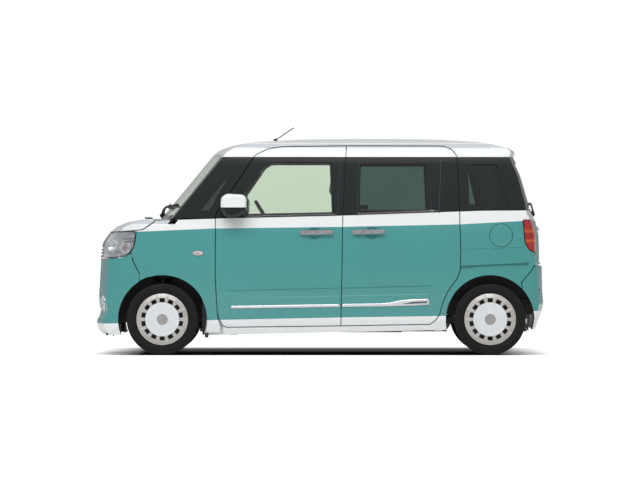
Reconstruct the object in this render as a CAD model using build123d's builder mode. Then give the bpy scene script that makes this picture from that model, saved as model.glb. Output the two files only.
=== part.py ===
from build123d import *
from math import atan2, cos, degrees, hypot, pi, radians, sin, tan
import os

os.makedirs("parts", exist_ok=True)

# Kei car: a tall wagon with hinged front doors and sliding rear doors.
# Millimetres. +Z is up, the car faces -X and its left side faces -Y. The origin
# is on the ground, at the middle of the length and width.

# ---------------------------------------------------------------- driving sizes
length = 3395.0            # bumper to bumper
width = 1475.0             # over the doors, without the mirrors
height = 1630.0            # ground to the top of the roof
wheelbase = 2455.0
front_overhang = 516.5     # nose to the front axle
track = 1298.0             # between the middles of the tyres
tyre_r = 268.0
tyre_w = 155.0
rim_r = 196.0              # seat of the tyre bead, also the cover's edge
hub_r = 68.0
nose_bow_r = 3000.0        # bow of the front in plan
tail_bow_r = 4200.0        # bow of the tail in plan
nose_corner_r = 230.0      # corners in plan
tail_corner_r = 170.0
wall_t = 88.0              # side of the body: door and inner frame together
door_t = 54.0              # a door's own thickness
door_top_y = 556.0         # inner edge of the doors' upper frames
roof_t = 34.0
screen_t = 6.0             # windscreen and door glass
lid_t = 26.0               # bonnet
cover_t = 30.0             # bumper skins with their stiffening
fender_t = 24.0
fender_lip_t = 7.0         # fender edge ahead of the door, where the door turns in
tailgate_t = 60.0
gap = 7.0                  # seams around the doors and lids
sill_z = 150.0             # lowest edge of the body side
floor_z = 205.0            # underside of the floor
floor_t = 26.0
arch_r = 333.0             # wheel openings
seat_gap = 0.4             # clearance between pieces that only rest together
groove_t = 16.0            # depth of the rail groove behind the sliding door
crease_t = 4.0             # depth of the crease along the doors
flange_t = 22.0            # outer flange at the rear edge of the front doors' frames
rabbet_w = 12.0            # step behind that flange, which lets the door swing out
recess_r = 56.0            # hand recess behind a door handle
recess_t = 22.0
plate_hole_r = 3.0         # two-hole fixing for a plate, 210 mm apart
plate_spacing = 210.0

nose_x = -length / 2
tail_x = length / 2
front_axle_x = nose_x + front_overhang
rear_axle_x = front_axle_x + wheelbase
half_w = width / 2
wheel_y = track / 2
belt_z = 1040.0            # lower edge of the side windows
a_pillar_x = front_axle_x + 398.0     # front edge of the front door
b_pillar_x = front_axle_x + 1350.0    # seam between the two doors at the belt
c_pillar_x = front_axle_x + 2226.0    # rear edge of the sliding door


# ---------------------------------------------------------------- form of the body
# Side profile of the nose: x back from the nose, z, corner radius.
nose_rows = [
    # back    z      r
    (62.0, 152.0, 0.0),
    (12.5, 186.0, 12.0),
    (0.0, 238.0, 12.0),
    (6.0, 270.0, 8.0),
    (25.0, 330.0, 20.0),
    (15.5, 430.0, 60.0),
    (24.0, 560.0, 200.0),
    (30.0, 660.0, 0.0),
    (33.0, 775.0, 120.0),
    (48.0, 845.0, 70.0),
    (96.0, 914.0, 90.0),
    (150.0, 963.0, 110.0),
    (232.0, 997.0, 200.0),
    (356.0, 1018.0, 400.0),
    (520.0, 1021.0, 0.0),
    (760.0, 1021.0, 0.0),
]
# Side profile of the cabin's front: x back from the nose, z, corner radius.
screen_rows = [
    (380.0, 892.0, 0.0),
    (527.5, 1068.0, 0.0),
    (881.5, 1497.0, 0.0),
    (899.0, 1518.0, 18.0),
    (950.0, 1549.0, 60.0),
    (1036.0, 1579.0, 160.0),
    (1170.0, 1600.0, 300.0),
    (1532.0, 1622.0, 1500.0),
    (2060.0, 1630.0, 0.0),
]
# Side profile of the tail, from the bottom up: x forward from the tail, z, radius.
tail_rows = [
    # ahead   z      r
    (60.0, 190.0, 0.0),
    (45.0, 235.0, 0.0),
    (12.0, 326.0, 40.0),
    (0.0, 384.0, 30.0),
    (7.5, 488.0, 80.0),
    (11.5, 662.0, 10.0),
    (32.5, 700.0, 10.0),
    (32.0, 780.0, 0.0),
    (36.0, 900.0, 120.0),
    (59.0, 999.0, 120.0),
    (96.0, 1078.0, 40.0),
    (101.0, 1131.0, 60.0),
    (164.0, 1346.0, 500.0),
    (229.0, 1490.0, 6.0),
    (217.0, 1512.0, 6.0),
    (224.0, 1534.0, 12.0),
    (262.0, 1553.0, 60.0),
    (378.5, 1584.0, 200.0),
    (480.0, 1600.0, 300.0),
    (790.0, 1621.0, 1200.0),
    (1160.0, 1630.0, 0.0),
]
# Heights of the rows that the inner faces of the tail follow.
tail_main = (190.0, 384.0, 780.0, 999.0, 1131.0, 1346.0, 1553.0, 1584.0, 1630.0)
# Half of the cross-section of the cabin: y out, z, corner radius.
side_rows = [
    # out            z      r
    (half_w - 48.0, 150.0, 0.0),
    (half_w - 16.0, 262.0, 90.0),
    (half_w - 2.5, 450.0, 700.0),
    (half_w, 650.0, 700.0),
    (half_w - 9.0, 930.0, 400.0),
    (half_w - 25.5, belt_z, 120.0),
    (half_w - 97.0, 1485.0, 900.0),
]


def inset(rows, depth):
    """Move an open chain of (x, z, r) rows to its right-hand side by depth."""
    if depth == 0:
        return list(rows)
    out = []
    last = len(rows) - 1
    for i, (x, z, r) in enumerate(rows):
        xa, za, _ = rows[max(i - 1, 0)]
        xb, zb, _ = rows[min(i + 1, last)]
        before = atan2(z - za, x - xa) if i > 0 else atan2(zb - z, xb - x)
        after = atan2(zb - z, xb - x) if i < last else before
        half = (after - before) / 2
        mean = before + half
        reach = depth / cos(half)
        out.append((x + reach * sin(mean), z - reach * cos(mean), max(r - depth, 0.0)))
    return out


def loop(rows):
    """Points and corner radii of a table of (x, z, r) rows."""
    return [(row[0], row[1]) for row in rows], [row[2] for row in rows]


def prism(rows, y0, y1, grow=0.0):
    """Solid over a closed loop of (x, z, r) rows, from y0 to y1."""
    points, radii = loop(rows)
    with BuildPart(mode=Mode.PRIVATE) as block:
        with BuildSketch(Plane.XZ.offset(-max(y0, y1))):
            with BuildLine():
                FilletPolyline(*points, radius=radii, close=True)
            make_face()
            if grow:
                offset(amount=grow, kind=Kind.INTERSECTION)
        extrude(amount=abs(y1 - y0))
    return block.part


def box(x0, x1, y0, y1, z0, z1):
    """Plain box between two corners."""
    with BuildPart(mode=Mode.PRIVATE) as block:
        with BuildSketch(Plane.XY.offset(z0)):
            with Locations(((x0 + x1) / 2, (y0 + y1) / 2)):
                Rectangle(abs(x1 - x0), abs(y1 - y0))
        extrude(amount=z1 - z0)
    return block.part


def spun(rows, axis_x):
    """Solid of revolution of a closed (x, z, r) loop about a vertical axis."""
    points, radii = loop(rows)
    with BuildPart(mode=Mode.PRIVATE) as block:
        with BuildSketch(Plane.XZ):
            with BuildLine():
                FilletPolyline(*points, radius=radii, close=True)
            make_face()
        revolve(axis=Axis((axis_x, 0, 0), (0, 0, 1)))
    return block.part


def section(rows, x0, x1, crown):
    """Cross-section extruded along X; crown is (half width, z at it, z in the middle)."""
    right = [(y, z, r) for y, z, r in rows]
    half, edge_z, top_z = crown
    right.append((half + 52.0, edge_z - 7.5, 58.0 if len(rows) == len(side_rows) else 30.0))
    loop_rows = [(-y, z, r) for y, z, r in reversed(right)] + right
    points, radii = loop(loop_rows)
    with BuildPart(mode=Mode.PRIVATE) as block:
        with BuildSketch(Plane.YZ.offset(x0)):
            with BuildLine():
                FilletPolyline((-half, edge_z), *points, (half, edge_z), radius=radii)
                ThreePointArc((half, edge_z), (0, top_z), (-half, edge_z))
            make_face()
        extrude(amount=x1 - x0)
    return block.part


def plan(depth=0.0):
    """Outline from above with rounded corners, over the whole height."""
    with BuildPart(mode=Mode.PRIVATE) as block:
        with BuildSketch(Plane.XY.offset(100)):
            with BuildLine():
                FilletPolyline(
                    (nose_x - 40, -half_w + 50 + depth),
                    (nose_x + 560, -half_w + depth),
                    (tail_x - 480, -half_w + depth),
                    (tail_x + 20, -half_w + 40 + depth),
                    (tail_x + 20, half_w - 40 - depth),
                    (tail_x - 480, half_w - depth),
                    (nose_x + 560, half_w - depth),
                    (nose_x - 40, half_w - 50 - depth),
                    radius=[nose_corner_r, 1500, 1500, tail_corner_r,
                            tail_corner_r, 1500, 1500, nose_corner_r],
                    close=True,
                )
            make_face()
        extrude(amount=height)
    return block.part


def nose_form(depth=0.0):
    """The body ahead of the cabin, with its skin moved inwards by depth."""
    chain = [(nose_x + b, z, r) for b, z, r in nose_rows]
    if depth:
        chain = [(nose_x + b, z, 0.0) for b, z, r in nose_rows
                 if z not in (186.0, 238.0, 270.0, 330.0)]
    rows = inset(chain, depth)
    rows[0] = (rows[0][0], sill_z - 20, 0.0)
    rows.append((rows[-1][0], sill_z - 20, 0.0))
    sides = [(y - depth, z, 0.0 if depth else r) for y, z, r in side_rows[:-2]]
    sides.append((half_w - 24.0 - depth, 1012.0 - depth, max(60.0 - depth, 0.0)))
    crown_half = half_w - 24.0 - depth - 150.0
    with BuildPart(mode=Mode.PRIVATE) as form:
        add(spun(rows, nose_x + nose_bow_r))
        add(section_of_nose(sides, crown_half, 1024.0 - depth, 1062.0 - depth),
            mode=Mode.INTERSECT)
        add(plan(depth), mode=Mode.INTERSECT)
    return form.part


def section_of_nose(rows, half, edge_z, top_z):
    """Cross-section of the nose with its rounded shoulders."""
    loop_rows = [(-y, z, r) for y, z, r in reversed(rows)] + list(rows)
    points, radii = loop(loop_rows)
    with BuildPart(mode=Mode.PRIVATE) as block:
        with BuildSketch(Plane.YZ.offset(nose_x - 60)):
            with BuildLine():
                FilletPolyline((-half, edge_z), *points, (half, edge_z), radius=radii)
                ThreePointArc((half, edge_z), (0, top_z), (-half, edge_z))
            make_face()
        extrude(amount=900)
    return block.part


def cabin_form(depth=0.0):
    """The cabin and tail, with the skin moved inwards by depth."""
    thin = depth < 15
    front = inset([(nose_x + b, z, r if thin else 0.0) for b, z, r in screen_rows], depth)
    front += [(nose_x + nose_bow_r, front[-1][1], 0.0),
              (nose_x + nose_bow_r, sill_z - 40, 0.0),
              (front[0][0], sill_z - 40, 0.0)]
    back = [(tail_x - a, z, r if thin else 0.0) for a, z, r in tail_rows
            if thin or z in tail_main]
    back = inset(list(reversed(back)), depth)
    start = back[0]
    back = [(tail_x - tail_bow_r, start[1], 0.0)] + back
    back += [(back[-1][0], sill_z - 40, 0.0), (tail_x - tail_bow_r, sill_z - 40, 0.0)]
    sides = [(y - depth, z, 0.0 if depth else r) for y, z, r in side_rows]
    if not thin:
        sides = sides[:-1]
    with BuildPart(mode=Mode.PRIVATE) as form:
        add(spun(front, nose_x + nose_bow_r))
        add(spun(back, tail_x - tail_bow_r), mode=Mode.INTERSECT)
        add(section(sides, nose_x, tail_x + 60,
                    (560.0 - depth, height - 40.0 - depth, height - depth)),
            mode=Mode.INTERSECT)
        add(plan(depth), mode=Mode.INTERSECT)
    return form.part


def cabin_section(depth, x0=nose_x, x1=tail_x + 60):
    """Cross-section of the cabin moved inwards, without the front and the tail."""
    sides = [(y - depth, z, 0.0 if depth else r) for y, z, r in side_rows]
    sides[0] = (sides[0][0], sill_z - 40, 0.0)
    if depth > 15:
        sides = sides[:-1]
    return section(sides, x0, x1, (560.0 - depth, height - 40.0 - depth, height - depth))


def mirrored(part):
    """The same piece on the car's other side."""
    return mirror(part, about=Plane.XZ)


def arch(axle_x, radius, y0, y1, axle_z=tyre_r - 3.0):
    """Cylinder about a wheel's axle."""
    with BuildPart(mode=Mode.PRIVATE) as block:
        with BuildSketch(Plane.XZ.offset(-max(y0, y1))):
            with Locations((axle_x, axle_z)):
                Circle(radius)
        extrude(amount=abs(y1 - y0))
    return block.part


# ---------------------------------------------------------------- seams, in the side view
ax = front_axle_x
rx = rear_axle_x
ap = a_pillar_x
bp = b_pillar_x
cp = c_pillar_x
seam = gap / 2

# x, z, corner radius; each seam is the middle of its gap.
front_door_rows = [
    (ap, 560.0, 300.0),
    (ap, 1036.0, 20.0),
    (ap + 14.0, 1078.0, 20.0),
    (ap + 296.0, 1498.0, 60.0),
    (ap + 393.0, 1546.0, 90.0),
    (ap + 500.0, 1562.0, 200.0),
    (bp + 29.0, 1569.0, 0.0),
    (bp + 2.0, belt_z, 0.0),
    (bp - 7.0, 520.0, 0.0),
    (bp - 13.0, 219.0, 0.0),
    (ap + 62.0, 208.0, 50.0),
    (ap + 16.0, 294.0, 60.0),
]
slide_door_rows = [
    (bp - 13.0, 219.0, 0.0),
    (bp - 7.0, 520.0, 0.0),
    (bp + 2.0, belt_z, 0.0),
    (bp + 29.0, 1569.0, 0.0),
    (cp - 125.0, 1567.0, 60.0),
    (cp - 58.0, 1543.0, 40.0),
    (cp - 17.0, 1492.0, 40.0),
    (cp, 1071.0, 0.0),
    (cp + 8.0, 790.0, 200.0),
    (cp + 5.0, 635.0, 60.0),
    (cp - 21.0, 568.0, 60.0),
    (cp - 80.0, 494.0, 200.0),
    (cp - 124.0, 398.0, 200.0),
    (cp - 147.0, 309.0, 60.0),
    (cp - 177.0, 264.0, 40.0),
    (cp - 221.0, 230.0, 30.0),
]
front_glass_rows = [
    (ap + 207.0, 1050.0, 12.0),
    (ap + 214.0, 1207.0, 200.0),
    (ap + 361.0, 1418.0, 40.0),
    (ap + 410.0, 1447.0, 40.0),
    (bp - 87.0, 1447.0, 20.0),
    (bp - 70.0, 1064.0, 12.0),
]
slide_glass_rows = [
    (bp + 122.0, 1083.0, 12.0),
    (bp + 130.0, 1436.0, 14.0),
    (cp - 222.0, 1436.0, 50.0),
    (cp - 208.0, 1083.0, 12.0),
]
quarter_glass_rows = [
    (cp + 64.0, 1090.0, 12.0),
    (cp + 52.0, 1430.0, 14.0),
    (cp + 286.0, 1430.0, 20.0),
    (cp + 368.0, 1100.0, 14.0),
]
vent_glass_rows = [
    (ap - 116.0, 1080.0, 10.0),
    (ap + 125.0, 1385.0, 6.0),
    (ap - 50.0, 1083.0, 10.0),
]
bonnet_rows = [
    (nose_x - 30.0, 838.0, 0.0),
    (nose_x + 90.0, 892.0, 60.0),
    (nose_x + 148.0, 919.0, 40.0),
    (nose_x + 322.0, 934.0, 30.0),
    (nose_x + 372.0, 940.0, 30.0),
    (nose_x + 455.0, 998.0, 0.0),
    (nose_x + 458.0, 1100.0, 0.0),
    (nose_x - 30.0, 1100.0, 0.0),
]
lamp_rows = [
    (nose_x - 30.0, 838.0, 0.0),
    (nose_x + 90.0, 892.0, 60.0),
    (nose_x + 148.0, 919.0, 0.0),
    (nose_x + 322.0, 932.0, 0.0),
    (nose_x + 315.0, 862.0, 60.0),
    (nose_x + 303.0, 807.0, 60.0),
    (nose_x + 279.0, 771.0, 30.0),
    (nose_x + 247.0, 741.0, 30.0),
    (nose_x + 172.0, 728.0, 60.0),
    (nose_x - 30.0, 722.0, 0.0),
]
bumper_rows = [
    (nose_x - 30.0, 130.0, 0.0),
    (nose_x - 30.0, 722.0, 0.0),
    (nose_x + 172.0, 728.0, 60.0),
    (nose_x + 247.0, 741.0, 30.0),
    (nose_x + 279.0, 771.0, 0.0),
    (nose_x + 301.0, 696.0, 0.0),
    (nose_x + 350.0, 600.0, 0.0),
    (nose_x + 340.0, 500.0, 0.0),
    (nose_x + 240.0, 130.0, 0.0),
]
fender_rows = [
    (nose_x + 350.0, 600.0, 0.0),
    (nose_x + 301.0, 696.0, 0.0),
    (nose_x + 279.0, 771.0, 30.0),
    (nose_x + 303.0, 807.0, 60.0),
    (nose_x + 315.0, 862.0, 60.0),
    (nose_x + 322.0, 932.0, 0.0),
    (nose_x + 372.0, 940.0, 30.0),
    (nose_x + 460.0, 998.0, 0.0),
    (nose_x + 465.0, 1040.0, 0.0),
    (ap - 290.0, 1040.0, 0.0),
    (ap - 282.0, 1018.0, 0.0),
    (ap, 1024.0, 0.0),
    (ap, 560.0, 300.0),
    (ap + 16.0, 294.0, 60.0),
    (ap + 40.0, 208.0, 0.0),
    (ap + 30.0, sill_z, 0.0),
    (ap - 80.0, sill_z, 0.0),
    (ap - 160.0, 500.0, 0.0),
]
tail_lamp_rows = [
    (tail_x - 178.0, 1012.0, 10.0),
    (tail_x + 30.0, 1012.0, 0.0),
    (tail_x + 30.0, 764.0, 0.0),
    (tail_x - 88.0, 764.0, 30.0),
    (tail_x - 133.0, 790.0, 60.0),
    (tail_x - 163.0, 842.0, 60.0),
]
rear_bumper_rows = [
    (tail_x + 30.0, 672.0, 0.0),
    (tail_x - 95.0, 668.0, 0.0),
    (tail_x - 118.0, 627.0, 20.0),
    (tail_x - 188.0, 546.0, 0.0),
    (tail_x - 170.0, 300.0, 0.0),
    (tail_x - 165.0, 150.0, 0.0),
    (tail_x + 30.0, 150.0, 0.0),
]
sill_cut_rows = [
    (ap - 200.0, 60.0, 0.0),
    (ap - 200.0, sill_z, 0.0),
    (ap - 10.0, sill_z, 0.0),
    (cp - 99.0, sill_z + 38.0, 0.0),
    (tail_x + 40.0, sill_z + 40.0, 0.0),
    (tail_x + 40.0, 60.0, 0.0),
]

# ---------------------------------------------------------------- shared forms
side_y = half_w + 60.0      # past the skin
body = nose_form() + cabin_form()
cabin = cabin_form()
lid_inner = nose_form(lid_t)
cover_inner = nose_form(cover_t)
fender_inner = nose_form(fender_t) + cabin_form(fender_t)
side_inner = cabin_section(wall_t)
door_inner = cabin_section(door_t)
glass_outer = cabin_section(9.0)
glass_inner = cabin_section(9.0 + screen_t)
sill_cut = prism(sill_cut_rows, -side_y, side_y)
roof_inner = cabin_form(roof_t)
tail_inner = cabin_form(tailgate_t)


def panel(outer, inner, zone, *cuts):
    """A panel: the wall between two forms, kept inside zone, less the cuts."""
    with BuildPart(mode=Mode.PRIVATE) as piece:
        add(outer)
        add(inner, mode=Mode.SUBTRACT)
        add(zone, mode=Mode.INTERSECT)
        for cut in cuts:
            add(cut, mode=Mode.SUBTRACT)
    return piece.part


def rod(start, end, radius):
    """Round bar between two points."""
    with BuildPart(mode=Mode.PRIVATE) as bar:
        direction = Vector(*end) - Vector(*start)
        with BuildSketch(Plane(origin=start, z_dir=direction)):
            Circle(radius)
        extrude(amount=direction.length)
    return bar.part


# ---------------------------------------------------------------- nose panels
front_arch = arch(ax + 6.0, arch_r, -side_y, side_y)
rear_arch = arch(rx - 4.0, arch_r - 4.0, -side_y, side_y)
bonnet_zone = prism(bonnet_rows, -side_y, side_y, -seam)
lamp_zone = prism(lamp_rows, -side_y, -430.0, -seam)
bumper_zone = prism(bumper_rows, -side_y, side_y, -seam)
fender_zone = prism(fender_rows, -side_y, -610.0, -seam)
with BuildPart() as hinge_room:
    add(cabin_section(fender_lip_t))
    add(box(ap - 60.0, ap + 60.0, -half_w, half_w, 100.0, 1200.0), mode=Mode.INTERSECT)
with BuildPart() as pillar_foot:
    add(cabin)
    add(box(nose_x, ap - 270.0, -half_w, half_w, 980.0, 1200.0), mode=Mode.INTERSECT)

bonnet_pin_x = nose_x + 475.5
bonnet_pin_z = 1000.0
pin_r = 6.0
ear_rows = [
    (bonnet_pin_x - 60.0, bonnet_pin_z - 18.0, 0.0),
    (bonnet_pin_x - 60.0, bonnet_pin_z + 6.0, 0.0),
    (bonnet_pin_x - 22.0, bonnet_pin_z + 6.0, 0.0),
    (bonnet_pin_x + 9.0, bonnet_pin_z + 6.0, 6.0),
    (bonnet_pin_x + 9.0, bonnet_pin_z - 10.0, 6.0),
    (bonnet_pin_x - 22.0, bonnet_pin_z - 18.0, 6.0),
]
ear_hole = arch(bonnet_pin_x, pin_r + seat_gap, -side_y, side_y, bonnet_pin_z)
ear = prism(ear_rows, -566.0, -556.0)
with BuildPart() as bonnet:
    add(body)
    add(lid_inner, mode=Mode.SUBTRACT)
    add(bonnet_zone, mode=Mode.INTERSECT)
    add(ear)
    add(mirrored(ear))
    add(ear_hole, mode=Mode.SUBTRACT)
bonnet.part.label = "bonnet"
export_step(bonnet.part, "parts/bonnet.step")

bumper_mouth = box(nose_x - 30, nose_x + 90, -330.0, 330.0, 268.0, 352.0)
front_plate_z = 430.0
with BuildPart() as front_bumper:
    add(body)
    add(cover_inner, mode=Mode.SUBTRACT)
    add(bumper_zone, mode=Mode.INTERSECT)
    add(front_arch, mode=Mode.SUBTRACT)
    add(bumper_mouth, mode=Mode.SUBTRACT)
    with BuildSketch(Plane.YZ.offset(nose_x - 30)):
        with Locations((-plate_spacing / 2, front_plate_z), (plate_spacing / 2, front_plate_z)):
            Circle(plate_hole_r)
    extrude(amount=140.0, mode=Mode.SUBTRACT)
front_bumper.part.label = "front_bumper"
export_step(front_bumper.part, "parts/front_bumper.step")

grille_zone = prism(lamp_rows, -430.0 + seam, 430.0 - seam, -seam)
slot_z = [752.0, 776.0, 800.0]
with BuildPart() as grille:
    add(body)
    add(cover_inner, mode=Mode.SUBTRACT)
    add(grille_zone, mode=Mode.INTERSECT)
    for z in slot_z:
        with BuildSketch(Plane.YZ.offset(nose_x - 30)):
            with Locations((0, z)):
                SlotOverall(760.0, 12.0)
        extrude(amount=140, mode=Mode.SUBTRACT)
grille.part.label = "grille"
export_step(grille.part, "parts/grille.step")

lamp_inner = nose_form(80.0)
lamp_left = panel(body, lamp_inner, lamp_zone)
with BuildPart() as headlamps:
    add(lamp_left)
    mirror(about=Plane.XZ)
headlamps.part.label = "headlamps"
export_step(headlamps.part, "parts/headlamps.step")

fender_left = panel(body, fender_inner, fender_zone, front_arch,
                    hinge_room.part, pillar_foot.part)
with BuildPart() as front_fenders:
    add(fender_left)
    mirror(about=Plane.XZ)
front_fenders.part.label = "front_fenders"
export_step(front_fenders.part, "parts/front_fenders.step")

# ---------------------------------------------------------------- cabin shell
screen_low = 1046.0
screen_top = 1500.0
roof_side = 530.0
pillar_t = 50.0           # width of the front pillars beside the windscreen
screen_section = cabin_section(pillar_t)
screen_skin = cabin_form(screen_t)
screen_zone = box(nose_x, ap + 300.0, -side_y, side_y, screen_low, screen_top)
with BuildPart() as windscreen:
    add(cabin)
    add(screen_skin, mode=Mode.SUBTRACT)
    add(screen_zone, mode=Mode.INTERSECT)
    add(screen_section, mode=Mode.INTERSECT)
windscreen.part.label = "windscreen"
export_step(windscreen.part, "parts/windscreen.step")

cowl_zone = box(nose_x, ap - 100.0, -600.0, 600.0, 905.0, screen_low)
with BuildPart() as cowl:
    add(cabin)
    add(roof_inner, mode=Mode.SUBTRACT)
    add(cowl_zone, mode=Mode.INTERSECT)
    for side in (-1, 1):
        for y in (547.0, 575.0):
            add(box(bonnet_pin_x - 10.0, bonnet_pin_x + 74.0, side * y - 5.0, side * y + 5.0,
                    bonnet_pin_z - 14.0, bonnet_pin_z + 8.0))
        add(rod((bonnet_pin_x, side * 544.0, bonnet_pin_z),
                (bonnet_pin_x, side * 578.0, bonnet_pin_z), pin_r))
cowl.part.label = "cowl"
export_step(cowl.part, "parts/cowl.step")

roof_rear_x = tail_x - 300.0
hatch_pin_x = roof_rear_x      # hinge line of the tailgate, in the seam behind the roof
hatch_pin_z = 1559.0
hatch_pin_r = 3.2
hatch_room = 9.5               # the roof ends this far ahead of the hinge line
leaf_t = 6.0
roof_zone = box(nose_x, hatch_pin_x - hatch_room, -roof_side, roof_side, screen_top, height + 50)


def leaf(y0, y1, x0, x1):
    """Hinge leaf with its knuckle on the tailgate's hinge line."""
    with BuildPart(mode=Mode.PRIVATE) as half:
        add(box(x0, x1, y0, y1, hatch_pin_z - leaf_t, hatch_pin_z))
        add(rod((hatch_pin_x, y0, hatch_pin_z), (hatch_pin_x, y1, hatch_pin_z), hatch_pin_r))
    return half.part


with BuildPart() as roof:
    add(cabin)
    add(roof_inner, mode=Mode.SUBTRACT)
    add(roof_zone, mode=Mode.INTERSECT)
    for side in (-1, 1):
        for y in (225.0, 285.0):
            add(leaf(side * y - 15.0, side * y + 15.0, hatch_pin_x - 40.0, hatch_pin_x))
roof.part.label = "roof"
export_step(roof.part, "parts/roof.step")

# Side frames: pillars, sill, rail above the doors, rear quarter and arch.
side_wall = cabin_form()
frame_room = door_t + 9.0      # depth of the door openings
door_room_inner = cabin_section(frame_room)
front_opening = prism(front_door_rows, -side_y, -300.0, seam)
slide_opening = prism(slide_door_rows, -side_y, -300.0, seam)
front_aperture_rows = [
    (ap + 46.0, 320.0, 60.0),
    (ap + 40.0, 1050.0, 60.0),
    (ap + 100.0, 1150.0, 80.0),
    (ap + 330.0, 1480.0, 60.0),
    (ap + 500.0, 1520.0, 60.0),
    (bp - 30.0, 1524.0, 50.0),
    (bp - 48.0, belt_z, 0.0),
    (bp - 62.0, 300.0, 60.0),
    (ap + 110.0, 290.0, 60.0),
]
slide_aperture_rows = [
    (bp + 45.0, 300.0, 60.0),
    (bp + 52.0, belt_z, 0.0),
    (bp + 74.0, 1524.0, 50.0),
    (cp - 130.0, 1520.0, 60.0),
    (cp - 50.0, 1480.0, 60.0),
    (cp - 45.0, 1071.0, 0.0),
    (cp - 45.0, 640.0, 100.0),
    (cp - 160.0, 480.0, 160.0),
    (cp - 235.0, 290.0, 60.0),
]
front_aperture = prism(front_aperture_rows, -side_y, -300.0)
slide_aperture = prism(slide_aperture_rows, -side_y, -300.0)
quarter_opening = prism(quarter_glass_rows, -side_y, -300.0)
quarter_aperture = prism(quarter_glass_rows, -side_y, -300.0, -12.0)
vent_opening = prism(vent_glass_rows, -side_y, -300.0)
lamp_pocket = prism(tail_lamp_rows, -side_y, -560.0, seam)
rear_bumper_pocket = prism(rear_bumper_rows, -side_y, side_y, seam)
fender_pocket_rows = [
    (nose_x, 60.0, 0.0),
    (nose_x, 1018.0, 0.0),
    (ap - 282.0, 1018.0 , 0.0),
    (ap, 1024.0, 0.0),
    (ap + 30.0, 700.0, 0.0),
    (ap + 60.0, 60.0, 0.0),
]
fender_pocket = prism(fender_pocket_rows, -side_y, -300.0, seam)
fender_pocket_inner = cabin_section(52.0)

tail_zone_rows = [
    # y, z, corner radius
    (548.0, 676.0, 30.0),
    (548.0, 1016.0, 0.0),
    (622.0, 1034.0, 30.0),
    (566.0, 1500.0, 60.0),
    (500.0, 1660.0, 0.0),
]


def across(rows, x0, x1, grow=0.0):
    """Symmetric solid over half a loop of (y, z, r) rows, from x0 to x1."""
    left = [(-y, z, r) for y, z, r in reversed(rows)]
    points, radii = loop(list(rows) + left)
    with BuildPart(mode=Mode.PRIVATE) as block:
        with BuildSketch(Plane.YZ.offset(x0)):
            with BuildLine():
                FilletPolyline(*points, radius=radii, close=True)
            make_face()
            if grow:
                offset(amount=grow, kind=Kind.INTERSECTION)
        extrude(amount=x1 - x0)
    return block.part


def less(part, *cuts):
    """The part with the cuts taken away."""
    with BuildPart(mode=Mode.PRIVATE) as rest:
        add(part)
        for cut in cuts:
            add(cut, mode=Mode.SUBTRACT)
    return rest.part


tail_zone = across(tail_zone_rows, roof_rear_x + seam, tail_x + 40, -seam)
tail_opening = across(tail_zone_rows, hatch_pin_x - hatch_room, tail_x + 40, seam)
lamp_depth_inner = cabin_form(70.0)
bumper_depth_inner = cabin_form(cover_t + 4.0)
opening_cuts = less(front_opening + slide_opening, door_room_inner)
fender_cuts = less(fender_pocket, fender_pocket_inner)
pane_cuts = less(quarter_opening + vent_opening, cabin_section(24.0))
tail_lamp_cuts = less(lamp_pocket, lamp_depth_inner)
rear_bumper_cuts = less(rear_bumper_pocket, bumper_depth_inner)
screen_cuts = less(screen_section & screen_zone, cabin_form(screen_t + 8.0))
with BuildPart() as frame_left:
    add(cabin)
    add(side_inner, mode=Mode.SUBTRACT)
    add(box(nose_x, tail_x + 60, -side_y, -roof_side, 100.0, height + 60), mode=Mode.INTERSECT)
    add(box(nose_x, ap - 100.0, -side_y, -300.0, 60.0, 1018.0), mode=Mode.SUBTRACT)
    for cut in (opening_cuts, fender_cuts, pane_cuts, tail_lamp_cuts, rear_bumper_cuts,
                tail_opening, front_aperture, slide_aperture, quarter_aperture,
                rear_arch, sill_cut, screen_cuts):
        add(cut, mode=Mode.SUBTRACT)
fuel_x = tail_x - 341.5
fuel_z = 896.0
fuel_lid_r = 85.0
fuel_gap = 3.5
fuel_lid_t = 7.0
fuel_pin_r = 2.5
fuel_pin_x = fuel_x - fuel_lid_r - fuel_gap / 2
fuel_pin_y = -half_w + 8.3
fuel_lid_outer = arch(fuel_x, fuel_lid_r, -side_y, -600.0, fuel_z)
fuel_cup = less(arch(fuel_x, fuel_lid_r + fuel_gap, -side_y, -600.0, fuel_z), cabin_section(44.0))

door_pin_x = ap + 25.0         # hinge line of the front doors
door_pin_y = half_w - 15.0
door_pin_r = 3.0
knuckle_r = 5.5
knuckle_half = 22.0            # half the height of a hinge knuckle
hinge_heights = (450.0, 740.0)
pillar_y = half_w - wall_t + 6.0


def door_hinge(z):
    """Fixed half of a front door's left hinge: arm from the pillar and its knuckle."""
    with BuildPart(mode=Mode.PRIVATE) as half:
        add(box(door_pin_x - 5.0, door_pin_x + 5.0, -door_pin_y, -pillar_y,
                z - knuckle_half, z + knuckle_half))
        add(rod((door_pin_x, -door_pin_y, z - knuckle_half),
                (door_pin_x, -door_pin_y, z + knuckle_half), knuckle_r))
        add(rod((door_pin_x, -door_pin_y, z - knuckle_half),
                (door_pin_x, -door_pin_y, z + knuckle_half), door_pin_r + 0.3),
            mode=Mode.SUBTRACT)
    return half.part


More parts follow.
